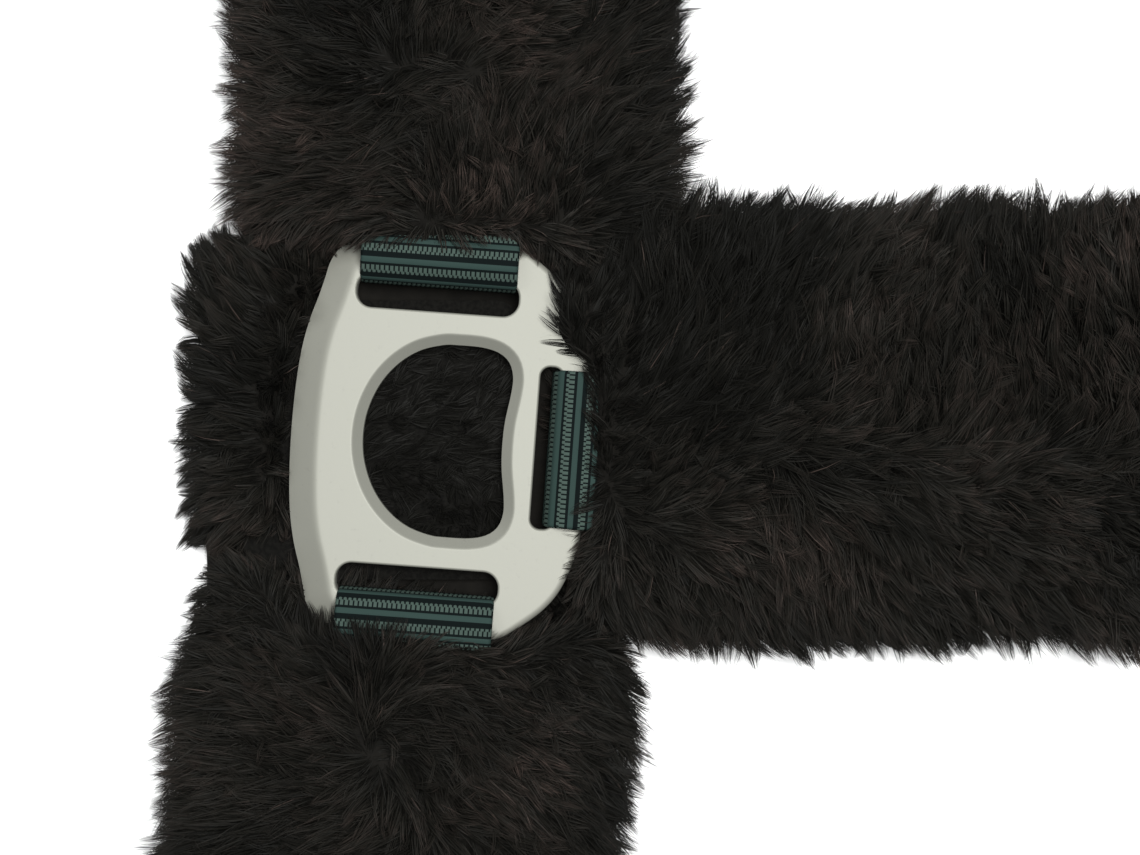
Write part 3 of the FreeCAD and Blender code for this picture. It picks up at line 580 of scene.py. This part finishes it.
def outline_loop():
    """The plate's edge in plan, its belly side towards -Y."""
    end, belly, top = PLATE_END, PLATE_BELLY, PLATE_TOP
    half = [
        (0, -belly), (8 * MM, -belly + 0.2 * MM), (15.2 * MM, -belly + 0.8 * MM),
        (21 * MM, -belly + 1.9 * MM), (26 * MM, -belly + 3.4 * MM), (29.4 * MM, -belly + 4.3 * MM),
        (32.8 * MM, -belly + 5.2 * MM), (35.6 * MM, -belly + 7.0 * MM), (end - 0.8 * MM, -17.8 * MM),
        (end - 0.2 * MM, -14.8 * MM), (end, -9 * MM), (end, 0), (end, 8 * MM), (end - 0.3 * MM, 12 * MM),
        (end - 1.4 * MM, 15.4 * MM), (end - 4.1 * MM, 19.3 * MM), (end - 7.2 * MM, 22.9 * MM),
        (end - 11 * MM, 25.7 * MM), (end - 16.5 * MM, 27.9 * MM), (end - 22 * MM, top - 0.5 * MM),
        (9 * MM, top - 0.05 * MM), (0, top),
    ]
    return mirrored(half)


def window_loop():
    """The edge of the plate's open middle in plan, dished towards the neck strap."""
    long, high = WINDOW_LONG, WINDOW_HIGH
    half = [
        (0, -high), (5 * MM, -high + 0.6 * MM), (10 * MM, -high + 2.6 * MM), (14 * MM, -high + 5.7 * MM),
        (16.8 * MM, -high + 9.6 * MM), (long - 0.2 * MM, -high + 14 * MM), (long, 3 * MM),
        (long - 0.1 * MM, 7.6 * MM), (long - 0.9 * MM, 10.9 * MM), (long - 2.6 * MM, 13 * MM),
        (long - 5.2 * MM, high), (long - 8.4 * MM, high - 0.1 * MM), (4.5 * MM, high - 0.9 * MM),
        (0, high - 1.1 * MM),
    ]
    return mirrored(half)


def ccw_normals(loop):
    """Unit normals that point to the left of the way the loop runs."""
    run = np.roll(loop, -1, 0) - np.roll(loop, 1, 0)
    run = unit(run)
    return np.stack([-run[:, 1], run[:, 0]], 1)


def distance_to(points, loop, values):
    """Distance from each point to a closed loop, and the loop's values at the nearest place."""
    a, b = loop, np.roll(loop, -1, 0)
    ab = b - a
    best, found = np.full(len(points), 1e9), np.zeros((len(points), values.shape[1]))
    for i in range(len(loop)):
        t = np.clip(((points - a[i]) @ ab[i]) / max(ab[i] @ ab[i], 1e-18), 0, 1)
        d = np.linalg.norm(points - a[i] - t[:, None] * ab[i], axis=1)
        near = d < best
        best[near] = d[near]
        mix = values[i] + t[near, None] * (values[(i + 1) % len(loop)] - values[i])
        found[near] = mix
    return best, found


def inside(points, loop):
    """Which points lie inside a closed loop."""
    x, y = points[:, 0], points[:, 1]
    odd = np.zeros(len(points), bool)
    for a, b in zip(loop, np.roll(loop, -1, 0)):
        if a[1] == b[1]:
            continue
        cross = (a[1] > y) != (b[1] > y)
        odd ^= cross & (x < (b[0] - a[0]) * (y - a[1]) / (b[1] - a[1]) + a[0])
    return odd


def in_plate_frame(points, side):
    """Flat points, measured from a plate's middle, in the plate's own turned frame."""
    tilt = TILT[side]
    back = np.array([[math.cos(tilt), math.sin(tilt)], [-math.sin(tilt), math.cos(tilt)]])
    return points @ back.T


def clear_of_plate(hairs, side):
    """Keep each hair that reaches a plate wholly over it or under it, by how high its root is."""
    low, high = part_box(f"plate_{side}")
    flat = hairs[..., :2].reshape(-1, 2) - np.array(CENTRE[side].xy)
    near = np.abs(flat).max(1) < (high - low).length / 2
    covered = np.zeros(len(flat), bool)
    covered[near] = inside(in_plate_frame(flat[near], side), outline_loop())
    covered = covered.reshape(hairs.shape[:2])
    z = hairs[..., 2]
    over = np.maximum(z, high[2] + CLOSE_HAIR)
    under = np.minimum(z, low[2] - CLOSE_HAIR)
    chosen = np.where(z[:, :1] > high[2] + 1.0 * MM, over, under)
    hairs[..., 2] = np.where(covered, chosen, z)


def bar_share(loop, axis, at, middle, reach):
    """1 beside a bar that webbing folds round, 0 away from it."""
    other = 1 - axis
    on = ease((reach + 0.6 * MM - np.abs(loop[:, other] - middle)) / (1.2 * MM))
    near = np.sign(at) * loop[:, axis] > abs(at)
    return on * near


def plate_face(top):
    """One side of the plate: (points in plan, height above its middle, triangles, loops)."""
    half_thick = (PLATE_HIGH - PLATE_LOW) / 2
    outer, window = outline_loop(), window_loop()
    slots = []
    low, high = SLOT_OFFSET - SLOT_HALF, SLOT_OFFSET + SLOT_HALF
    far_end, far_side = SLOT_IN + SLOT_WIDE, SIDE_SLOT_IN + SIDE_SLOT_WIDE
    for way in (-1, 1):
        ends = sorted((way * SLOT_IN, way * far_end))
        slots.append((round_box(*ends, low, high, 3.0 * MM), 0, way * (far_end - SLOT_LIP)))
    slots.append((round_box(-SLOT_HALF, SLOT_HALF, SIDE_SLOT_IN, far_side, 1.9 * MM), 1, far_side - SLOT_LIP))
    bar_high, end_bar, side_bar = half_thick - 0.2 * MM, 3.4 * MM, 2.9 * MM
    loops = []
    low_side = ease((-outer[:, 1] - SLOPE_FROM) / SLOPE_EDGE) if top else np.zeros(len(outer))
    wide = RIM_WIDE + low_side * (SLOPE_WIDE - RIM_WIDE)
    tall = RIM_TALL + low_side * (SLOPE_TALL - RIM_TALL)
    if not top:
        wide, tall = np.full(len(outer), 0.6 * MM), np.full(len(outer), 0.5 * MM)
    bars = (
        (0, PLATE_END - 2 * MM, SLOT_OFFSET, end_bar),
        (0, 2 * MM - PLATE_END, SLOT_OFFSET, end_bar),
        (1, PLATE_TOP - 2 * MM, 0, side_bar),
    )
    for axis, at, middle, reach in bars:
        share = bar_share(outer, axis, at, middle, SLOT_HALF)
        wide = wide + (reach - wide) * share
        tall = tall + (bar_high - tall) * share
    loops.append((outer, np.stack([wide, tall, low_side], 1), 1))
    rim, rim_tall = (2.2 * MM, 1.7 * MM) if top else (0.5 * MM, 0.4 * MM)
    values = np.tile([rim, rim_tall, 1.0 if top else 0], (len(window), 1))
    loops.append((window, values, -1))
    for loop, axis, bar_edge in slots:
        middle = 0 if axis else SLOT_OFFSET
        share = bar_share(loop, axis, bar_edge, middle, SLOT_HALF - 2.4 * MM)
        reach = side_bar if axis else end_bar
        wide = SLOT_ROUND + (reach - SLOT_ROUND) * share
        tall = SLOT_ROUND + (bar_high - SLOT_ROUND) * share
        loops.append((loop, np.stack([wide, tall, 0 * wide], 1), -1))
    rings = []
    for loop, values, way in loops:
        normal = ccw_normals(loop) * way
        for share in RING_SHARES:
            rings.append(loop + normal * values[:, :1] * share)
    points = np.vstack(rings)
    counts = [len(loop) for loop, _, _ in loops]
    first, start = [], 0
    for count in counts:
        first.append(start)
        start += len(RING_SHARES) * count
    wet = inside(points, outer)
    for loop, _, _ in loops[1:]:
        wet &= ~inside(points, loop)
    for begin, count in zip(first, counts):
        wet[begin:begin + count] = True
    points = points[wet]
    kept = np.cumsum(wet) - 1
    edges = []
    for begin, count in zip(first, counts):
        index = kept[begin:begin + count]
        edges += list(zip(index.tolist(), np.roll(index, -1).tolist()))
    grid = np.stack(np.meshgrid(np.arange(-38, 39, GRID), np.arange(-28, 30, GRID)), -1).reshape(-1, 2) * MM
    free = inside(grid, outer)
    for loop, values, _ in loops:
        distance, found = distance_to(grid, loop, values)
        free &= distance > RING_SHARES[-1] * found[:, 0] + 0.8 * MM
    for loop, _, _ in loops[1:]:
        free &= ~inside(grid, loop)
    points = np.vstack([points, grid[free]])
    result = delaunay_2d_cdt([Vector(p) for p in points], edges, [], 0, 1e-7)
    flat = np.array([tuple(p) for p in result[0]])
    triangles = np.array([f for f in result[2] if len(f) == 3])
    middle = flat[triangles].mean(1)
    solid = inside(middle, outer)
    for loop, _, _ in loops[1:]:
        solid &= ~inside(middle, loop)
    triangles = triangles[solid]
    height = np.full(len(flat), half_thick)
    for loop, values, _ in loops:
        d, found = distance_to(flat, loop, values)
        u = np.clip(d / found[:, 0], 0, 1)
        quarter = np.sqrt(1 - (1 - u) ** 2)
        slope = np.where(u < 0.8, u * 1.12, 1 - 2.6 * (1 - u) ** 2)
        part = quarter + (slope - quarter) * found[:, 2]
        height = np.minimum(height, half_thick - found[:, 1] * (1 - part))
    place = {}
    for out, sources in enumerate(result[3]):
        for source in sources:
            place[source] = out
    boundary = [[place[i] for i in kept[b:b + c].tolist()] for b, c in zip(first, counts)]
    return flat, height, triangles, boundary


def satin_metal():
    """Cast alloy with a satin finish: fine specks, and a faint unevenness in its sheen."""
    colour, speck = (0.206, 0.208, 0.178), (0.190, 0.191, 0.165)
    return noisy("satin_cast_alloy", colour, speck, 0.56, 0.3, 900, 0.08, detail=5, span=(0.25, 0.36),
                 depth=0.1 * MM)


def make_plates():
    metal = satin_metal()
    sides = [plate_face(True), plate_face(False)]
    for side in SIDES:
        points, faces = [], []
        matrix = np.array(placed(CENTRE[side], TILT[side]))
        starts = []
        for (flat, height, triangles, _), way in zip(sides, (1, -1)):
            starts.append(len(points))
            full = np.column_stack([flat, height * way]) @ matrix[:3, :3].T + matrix[:3, 3]
            points += full.tolist()
            order = triangles if way == 1 else triangles[:, ::-1]
            faces += (order + starts[-1]).tolist()
        for number, (high, low) in enumerate(zip(sides[0][3], sides[1][3])):
            n = len(high)
            for i in range(n):
                a, b = high[i] + starts[0], high[(i + 1) % n] + starts[0]
                c, d = low[i] + starts[1], low[(i + 1) % n] + starts[1]
                faces.append((b, d, c, a) if number else (a, c, d, b))
        plate = add_mesh(f"junction_plate_{side}", points, faces, [metal], f"junction_{side}")
        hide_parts(f"plate_{side}")
        plate.data.set_sharp_from_angle(angle=math.radians(38))


# ---- webbing ----
RIB_PITCH, RIB_BAND = 3.6 * MM, 1.5 * MM
TICKS = 33                  # across a strap
BAND_RISE, TICK_RISE, GAP_DIP = 0.24 * MM, 0.20 * MM, 0.05 * MM
HOLE_RADIUS = 3.1 * MM
SEAM, NECK_SEAM = 62 * MM, 60 * MM      # where a strap's sewn tail ends, from its bar
TURN_AT = 16 * MM           # how far from a bar its loop's own piece ends
END_CAVITY, SIDE_CAVITY, EYE_CAVITY, RING_CAVITY = 3.65 * MM, 3.15 * MM, 2.15 * MM, 2.65 * MM
HALF_WEB = WEB_THICK / 2
NECK_NODE = {"left": "neck_webbing_left", "right": "neck_webbing_right"}


def web_materials():
    band = principled("web_band", (0.0190, 0.0350, 0.0310), 0.75, Specular_IOR_Level=0.06)
    row = principled("web_row", (0.0030, 0.0050, 0.0050), 0.85, Specular_IOR_Level=0.04)
    tick = principled("web_tick", (0.040, 0.060, 0.051), 0.75, Specular_IOR_Level=0.06)
    return [band, row, tick]


def fold_path(cavity, lower_end, upper_end):
    """Round a bar at the origin from a lower layer to an upper one, in (x, z)."""
    r = cavity + WEB_THICK / 2
    tip, half = 3.3 * (cavity + WEB_THICK), WEB_THICK / 2
    lean = math.atan2(half, tip) + math.acos(r / math.hypot(tip, half))
    turns = np.linspace(-lean, lean - 2 * math.pi, 40)
    round_bar = [(r * math.cos(a), r * math.sin(a)) for a in turns]
    return [(lower_end, -half), (tip + 1 * MM, -half)] + round_bar + [(tip + 1 * MM, half), (upper_end, half)]


def walk(path, step):
    """Points at even steps along a path of (x, z), with their directions and distances."""
    p = np.array(path, float)
    long = np.concatenate([[0], np.cumsum(np.linalg.norm(np.diff(p, axis=0), axis=1))])
    s = np.linspace(0, long[-1], max(int(long[-1] / step), 2))
    x, z = np.interp(s, long, p[:, 0]), np.interp(s, long, p[:, 1])
    soft = 3
    dx, dz = np.gradient(x), np.gradient(z)
    kernel = np.ones(soft) / soft
    dx = np.convolve(np.pad(dx, soft // 2, "edge"), kernel, "valid")
    dz = np.convolve(np.pad(dz, soft // 2, "edge"), kernel, "valid")
    run = unit(np.stack([dx, dz], 1))
    return x, z, run, s


def ribbon(name, body, node, path, matrix, fine=True, holes=(), phase=0.0, slot_hole=None,
           wide=WEB_WIDE, taper=None):
    """Ribbed elastic webbing that follows path, ribs and slanted ticks raised from it."""
    step = 0.45 * MM if fine else 1.8 * MM
    columns = 3 * round(TICKS * wide / WEB_WIDE) if fine else 6
    x, z, run, s = walk(path, step)
    normal = np.stack([-run[:, 1], run[:, 0]], 1)
    w = np.linspace(-1, 1, columns + 1)
    edge = np.sqrt(np.clip(1 - np.clip((np.abs(w) - 0.955) / 0.045, 0, 1) ** 2, 0, 1))
    period = np.mod(s + phase, RIB_PITCH)
    on_band = period < RIB_BAND
    crown = np.where(on_band, np.clip(np.sin(math.pi * period / RIB_BAND), 0, 1) ** 0.7, 0)
    in_row = (period - RIB_BAND) / (RIB_PITCH - RIB_BAND)
    row_number = np.floor((s + phase) / RIB_PITCH)
    slant = np.where(row_number % 2 == 0, 1.6, -1.6)
    relief = np.zeros((len(s), columns + 1))
    relief += (BAND_RISE * crown)[:, None]
    ticks = np.mod(np.arange(columns + 1)[None, :] + np.round(slant * in_row)[:, None], 3) == 0
    if fine:
        raised = np.where(ticks, TICK_RISE, -GAP_DIP) * np.sin(math.pi * np.clip(in_row, 0, 1))[:, None]
        relief += np.where(on_band[:, None], 0, raised)
    half = WEB_THICK / 2 - 0.12 * MM
    layers = []
    for way in (1, -1):
        thick = (half * (0.35 + 0.65 * edge))[None, :] + relief * edge[None, :]
        px = x[:, None] + way * normal[:, :1] * thick
        pz = z[:, None] + way * normal[:, 1:] * thick
        narrow = np.ones(len(x))
        if taper:
            in_tip = np.clip((x - taper + 8 * MM) / (12 * MM), 0, 1)
            narrow = 1 - 0.5 * (1 - np.sqrt(1 - in_tip ** 2))
        py = w[None, :] * narrow[:, None] * wide / 2
        layers.append(np.stack([px, py, pz], -1).reshape(-1, 3))
    points = np.vstack(layers)
    rows, many = len(s), columns + 1
    keep = np.ones((rows - 1, columns), bool)
    centre_x, centre_y = (x[1:] + x[:-1]) / 2, (w[1:] + w[:-1]) / 2 * wide / 2
    for at in holes:
        keep &= np.hypot(centre_x[:, None] - at, centre_y[None, :]) > HOLE_RADIUS
    if slot_hole:
        keep &= ~((centre_x[:, None] > slot_hole[0]) & (np.abs(centre_y[None, :]) < slot_hole[1]))
    index = np.arange(rows * many).reshape(rows, many)
    quads = np.stack([index[:-1, :-1], index[:-1, 1:], index[1:, 1:], index[1:, :-1]], -1)
    tone = np.where(on_band[:-1, None] & on_band[1:, None], 0, 1)
    light = ticks[:-1, :-1] | ticks[:-1, 1:]
    tone = np.where((tone == 1) & light & (in_row[:-1, None] > 0.08) & (in_row[:-1, None] < 0.85), 2, tone)
    faces = [quads[keep][:, ::-1], quads[keep] + rows * many]
    tones = [tone[keep], tone[keep]]
    border = {}
    for q in quads[keep].reshape(-1, 4):
        for a, b in zip(q, np.roll(q, -1)):
            border[(a, b)] = border.get((a, b), 0) + 1
    rim = [(a, b) for (a, b) in border if (b, a) not in border]
    under = rows * many
    walls = np.array([(a, b, b + under, a + under) for a, b in rim])
    faces.append(walls)
    tones.append(np.zeros(len(walls), int))
    points = points @ np.array(matrix)[:3, :3].T + np.array(matrix)[:3, 3]
    used = np.unique(np.concatenate([f.ravel() for f in faces]))
    renumber = np.zeros(len(points), int)
    renumber[used] = np.arange(len(used))
    all_faces = [renumber[f].tolist() for group in faces for f in group]
    piece = add_mesh(name, points[used], all_faces, WEB, body, np.concatenate(tones))
    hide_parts(node)


WEB = web_materials()


def smooth_route(points):
    """The route with its corners rounded a little."""
    p = np.array(points, float)
    out = [p[0]]
    for a, b, c in zip(p, p[1:], p[2:]):
        reach = min(2.2 * MM, np.linalg.norm(b - a) * 0.45, np.linalg.norm(c - b) * 0.45)
        start, end = b + unit((a - b)[None])[0] * reach, b + unit((c - b)[None])[0] * reach
        for t in np.linspace(0, 1, 6):
            out.append(start * (1 - t) ** 2 + 2 * b * t * (1 - t) + end * t * t)
    out.append(p[-1])
    return out


def make_loops():
    """The folds round the plates' bars, square on each bar."""
    for side in SIDES:
        spots = (
            ("chest", "plate_fold", "chest_webbing", "chest", END_CAVITY, math.pi if side == "right" else 0),
            ("side", "side_fold", f"side_webbing_{side}", f"side_{side}", END_CAVITY,
             0 if side == "right" else math.pi),
            ("neck", "neck_fold", NECK_NODE[side], f"neck_{side}", SIDE_CAVITY, math.pi / 2),
        )
        for strap, joint, node, body, cavity, angle in spots:
            at = joint_at(f"{joint}_{side}")
            matrix = placed(at, angle + TILT[side])
            path = fold_path(cavity, TURN_AT, TURN_AT)
            ribbon(f"web_loop_{strap}_{side}", body, node, path, matrix, phase=1.1 * MM)


def offset_route(points, away):
    """The same route, moved sideways from itself."""
    p = np.array(smooth_route(points))
    run = unit(np.gradient(p, axis=0))
    return p + np.stack([-run[:, 1], run[:, 0]], 1) * away


def doubled_start(name, body, node, matrix, seam, end, level=0.0):
    """The hidden, sewn start of a strap: an upper layer that becomes the strap, and a tail."""
    upper = [(TURN_AT, HALF_WEB), (seam - 4 * MM, HALF_WEB), (seam + 2 * MM, level), (end, level)]
    ribbon(f"{name}_start", body, node, upper, matrix, False)
    ribbon(f"{name}_tail", body, node, [(TURN_AT, -HALF_WEB), (seam, -HALF_WEB)], matrix, False)


def make_chest_strap():
    left, right = joint_at("plate_fold_left"), joint_at("plate_fold_right")
    run = right - left
    bare = 36 * MM
    matrix = placed(left, math.atan2(run.y, run.x))
    level, node = HALF_WEB, "chest_webbing"
    middle = run.length / 2
    doubled_start("web_chest_left", "chest", node, matrix, SEAM, middle - bare, level)
    back = placed(right, math.atan2(-run.y, -run.x))
    doubled_start("web_chest_right", "chest", node, back, SEAM, middle - bare, level)
    ribbon("web_chest_middle", "chest", node, [(middle - bare, level), (middle + bare, level)], matrix)


def make_side_strap(side):
    at = joint_at(f"side_fold_{side}")
    eye = joint_at(f"eye_hinge_{side}")
    matrix = placed(at, math.atan2(eye.y - at.y, eye.x - at.x))
    body, node = f"side_{side}", f"side_webbing_{side}"
    level, reach = eye.z - at.z, math.hypot(eye.x - at.x, eye.y - at.y)
    low, high = level - 2.35 * MM, level + 2.6 * MM
    leave, middle = 182 * MM, reach - 49 * MM
    doubled_start(f"web_side_{side}", body, node, matrix, SEAM, leave)
    route = [
        (leave, 0), (188 * MM, 0), (216 * MM, low), (middle - 7 * MM, low), (middle - MM, high),
        (middle + MM, high), (middle + 7 * MM, low), (middle + 16 * MM, low), (middle + 22 * MM, level),
        (reach - 26 * MM, level + HALF_WEB * 0.6), (reach - 22 * MM, level + HALF_WEB),
    ]
    ribbon(f"web_side_{side}_end", body, node, smooth_route(route) + eye_fold(reach, level, 25 * MM), matrix)


def eye_fold(bar, level, tail):
    """The far fold of a strap, from its upper layer round the bar to its lower layer's end."""
    path = fold_path(EYE_CAVITY, tail, 14.5 * MM)[::-1]
    return [np.array((bar - x, level + z)) for x, z in path]


def make_neck_left():
    at, heel = joint_at("neck_fold_left"), joint_at("buckle_hinge")
    matrix = placed(at, math.pi / 2)
    body, node = "neck_left", "neck_webbing_left"
    level, reach, leave = heel.z - at.z, heel.y - at.y, 220 * MM
    doubled_start("web_neck_left", body, node, matrix, NECK_SEAM, leave)
    route = [
        (leave, 0), (228 * MM, 0), (256 * MM, level), (reach - 36 * MM, level),
        (reach - 31 * MM, level + HALF_WEB), (reach - 16 * MM, level + HALF_WEB),
    ]
    path = smooth_route(route) + eye_fold(reach, level, 31 * MM)
    ribbon("web_neck_left_end", body, node, path, matrix, slot_hole=(reach - 9 * MM, 4 * MM))
    for name, body, along in (("keeper_fixed", body, 304 * MM), ("keeper_sliding", "keeper", 280 * MM)):
        centre = Vector((at.x, at.y + along, heel.z))
        wide, low, high = 16.7 * MM, -2.1 * MM, 7.4 * MM
        loop = [(0, low), (wide, low), (wide, high), (-wide, high), (-wide, low), (-0.2 * MM, low)]
        ribbon(f"{name}_loop", body, name, smooth_route(loop), placed(centre, math.pi), wide=12 * MM)


def make_neck_right():
    at = joint_at("neck_fold_right")
    matrix = placed(at, math.pi / 2)
    body, node = "neck_right", "neck_webbing_right"
    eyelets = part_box("billet_eyelets")
    level = (eyelets[0][2] + eyelets[1][2]) / 2 - at.z
    leave, first, pitch, stop = 220 * MM, 274 * MM, 25 * MM, 405.5 * MM
    doubled_start("web_neck_right", body, node, matrix, NECK_SEAM, leave)
    route = smooth_route([(leave, 0), (228 * MM, 0), (256 * MM, level), (stop, level)])
    holes = [first + i * pitch for i in range(5)]
    ribbon("web_neck_right_end", body, node, route, matrix, holes=holes, taper=stop)


def make_tab():
    ring, chest = joint_at("ring_swing"), joint_at("plate_fold_right")
    matrix = placed(ring, math.pi / 2)
    rise = chest.z + 2 * WEB_THICK + 0.2 * MM - ring.z
    centre = [
        (11.5 * MM, 0), (13 * MM, 0.9 * MM), (17.4 * MM, rise - 0.7 * MM), (18.8 * MM, rise), (47 * MM, rise),
    ]
    path = fold_path(RING_CAVITY, 9 * MM, 9 * MM)
    lower = [tuple(p) for p in offset_route(centre, -HALF_WEB)][::-1]
    upper = [tuple(p) for p in offset_route(centre, HALF_WEB)]
    ribbon("web_martingale_tab", "chest", "martingale_tab", lower + path[2:-2] + upper, matrix)


# ---- pads ----
PAD_HALF, PAD_BELLY, PAD_TOP = 39.5 * MM, -45.5 * MM, 31 * MM       # in plan, from the plate's middle
PAD_UNDER, PAD_RISE = 7.8 * MM, 5.2 * MM        # its height beneath the plate, and how much it swells
PAD_PILE, PAD_SWING = 7.2 * MM, 1.8 * MM
WINDOW_PILE = 3.4 * MM


def pad_surface(side):
    """The fur pad under a plate: low beneath it, plump where nothing is above it."""
    centre = CENTRE[side]
    middle_y, half_y = (PAD_BELLY + PAD_TOP) / 2, (PAD_TOP - PAD_BELLY) / 2
    rings, around = 46, 150
    theta = np.linspace(0, 2 * math.pi, around, endpoint=False)
    c, s = np.cos(theta), np.sin(theta)
    radius = (np.abs(c / PAD_HALF) ** 8 + np.abs(s / half_y) ** 8) ** (-1 / 8)
    share = np.sqrt(np.linspace(0.0004, 1, rings))
    x = share[:, None] * radius * c
    y = middle_y + share[:, None] * radius * s
    side_x = -1 if side == "left" else 1
    flat = np.stack([x.ravel() * side_x, y.ravel()], 1)
    cut = ease((flat[:, 1] + 24 * MM) / (-9 * MM)) * ease((flat[:, 0] * side_x - 16 * MM) / (4 * MM))
    outline = outline_loop()
    in_plate = in_plate_frame(flat, side)
    gap, _ = distance_to(in_plate, outline, np.zeros((len(outline), 1)))
    gap = np.where(inside(in_plate, outline), -gap, gap)
    top = PAD_UNDER + PAD_RISE * ease((gap - 0.5 * MM) / (5 * MM))
    edge = np.repeat(np.clip((share - 0.80) / 0.20, 0, 1), around)
    top = 0.8 * MM + (top - 0.8 * MM) * np.sqrt(1 - 0.92 * edge ** 2.4)
    top = top * (1 - 0.75 * cut)
    upper = np.column_stack([flat, top])
    lower = np.column_stack([flat, np.full(len(flat), 0.5 * MM)])
    points = np.vstack([upper, lower]) + [centre.x, centre.y, 0]
    faces = []
    count = len(flat)
    for i in range(rings - 1):
        for j in range(around):
            a, b = i * around + j, i * around + (j + 1) % around
            faces.append((a, a + around, b + around, b))
            faces.append((a + count, b + count, b + around + count, a + around + count))
    last = (rings - 1) * around
    for j in range(around):
        a, b = last + j, last + (j + 1) % around
        faces.append((a, a + count, b + count, b))
    faces.append(tuple(range(around)))
    faces.append(tuple(count + j for j in range(around - 1, -1, -1)))
    if side_x < 0:
        faces = [f[::-1] for f in faces]
    return points, faces, gap, cut


def make_pad(side, seed):
    points, faces, gap, cut = pad_surface(side)
    body, centre = f"junction_{side}", CENTRE[side]
    skin = add_mesh(f"pad_skin_{side}", points, faces, [SKIN], body)
    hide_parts(f"pad_fur_{side}")
    rng = np.random.default_rng(seed)
    triangles = triangles_of(faces)
    shown = np.concatenate([gap, np.full(len(gap), -1.0)])
    covered = np.concatenate([cut, np.ones(len(cut))])
    open_to_view = (shown[triangles].mean(1) > -4 * MM) & (covered[triangles].mean(1) < 0.6)
    triangles = triangles[open_to_view]

    def density(place, normal):
        return near_photo(place, CLOSE_HAIRS * 1.1, FAR_HAIRS) * np.where(normal[:, 2] < -0.3, 0.2, 1.0)

    place, normal = scatter(points, triangles, density, rng)
    out = unit((place - np.array([centre.x, centre.y, 0])) * [1, 1, 0])
    flow = swirl(place, out, seed + 9, 0.55)
    length = PAD_PILE + PAD_SWING * value_noise(place, 12 * MM, seed + 4)
    length *= 0.85 + 0.3 * rng.random(len(place))
    hairs, chief = comb(place, normal, flow, length, rng)
    clear_of_plate(hairs, side)
    make_hairs(f"pad_{side}_hair", body, hairs, shade_of(place, chief, rng, seed + 3), rng)
    make_window_fur(side, seed + 50)


def make_window_fur(side, seed):
    """The short pile that shows through a plate's window, all in the darkest shade as painted shade under the
    plate.
    """
    rng = np.random.default_rng(seed)
    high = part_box(f"pad_base_{side}")[1][2]
    loop = window_loop() * 1.12
    count = 3800 if side == PHOTO_SIDE else 1800
    spots = rng.uniform(-1, 1, (count * 2, 2)) * [WINDOW_LONG * 1.1, WINDOW_HIGH * 1.1]
    spots = spots[inside(spots, loop)][:count]
    matrix = np.array(placed(Vector((CENTRE[side].x, CENTRE[side].y, high)), TILT[side]))
    place = np.column_stack([spots, np.full(len(spots), 0.05 * MM)]) @ matrix[:3, :3].T + matrix[:3, 3]
    normal = np.tile([0.0, 0.0, 1.0], (len(place), 1))
    flow = swirl(place, np.tile([0.5, -1.0, 0.0], (len(place), 1)), seed, 1.4)
    length = np.full(len(place), WINDOW_PILE) * (0.8 + 0.4 * rng.random(len(place)))
    hairs, _ = comb(place, normal * 0.3, flow, length, rng)
    hairs[..., 2] = np.maximum(hairs[..., 2], high + 0.05 * MM)
    # The darkest shade for every hair: painted shade in the window's recess under the plate.
    tone = np.zeros(len(place), int)
    make_hairs(f"window_{side}_hair", f"junction_{side}", hairs, tone, rng)


# ---- hardware, thread and tape ----
def coat(material, *names):
    """Give CAD nodes that show as they are a material."""
    for name in names:
        data = NODES[name].data
        data.materials.clear()
        data.materials.append(material)


def coat_hardware():
    steel = noisy("nickel_steel", (0.50, 0.49, 0.465), (0.42, 0.41, 0.385), 0.30, 1.0, 260, 0.05)
    tape = noisy("closure_tape", (0.008, 0.008, 0.008), (0.003, 0.003, 0.003), 0.95, 0.0, 2600, 0.9,
                 Specular_IOR_Level=0.15)
    felt = noisy("pad_base", (0.005, 0.0048, 0.004), (0.002, 0.0019, 0.0016), 0.95, 0.0, 1400, 0.8,
                 Specular_IOR_Level=0.1)
    thread = noisy("thread", (0.10, 0.14, 0.13), (0.06, 0.09, 0.085), 0.7, 0.0, 3000, 0.5)
    coat(steel, "martingale_ring", "buckle_frame", "buckle_roller", "buckle_tongue", "billet_eyelets",
         "billet_tip")
    coat(thread, "martingale_stitching", "buckle_stitching")
    for side in SIDES:
        for name in ("slider", "snap_eye", "snap_body", "snap_gate", "gate_pin", "gate_spring"):
            coat(steel, f"{name}_{side}")
        coat(thread, f"side_stitching_{side}")
        coat(felt, f"pad_base_{side}")
        for name in ("chest", "side", "neck"):
            coat(tape, f"{name}_closure_{side}")


make_camera()
make_stage()
make_plates()
make_loops()
make_chest_strap()
for side in SIDES:
    make_side_strap(side)
make_neck_left()
make_neck_right()
make_tab()
coat_hardware()
make_sleeves()
for number, side in enumerate(SIDES):
    make_pad(side, 900 + 30 * number)
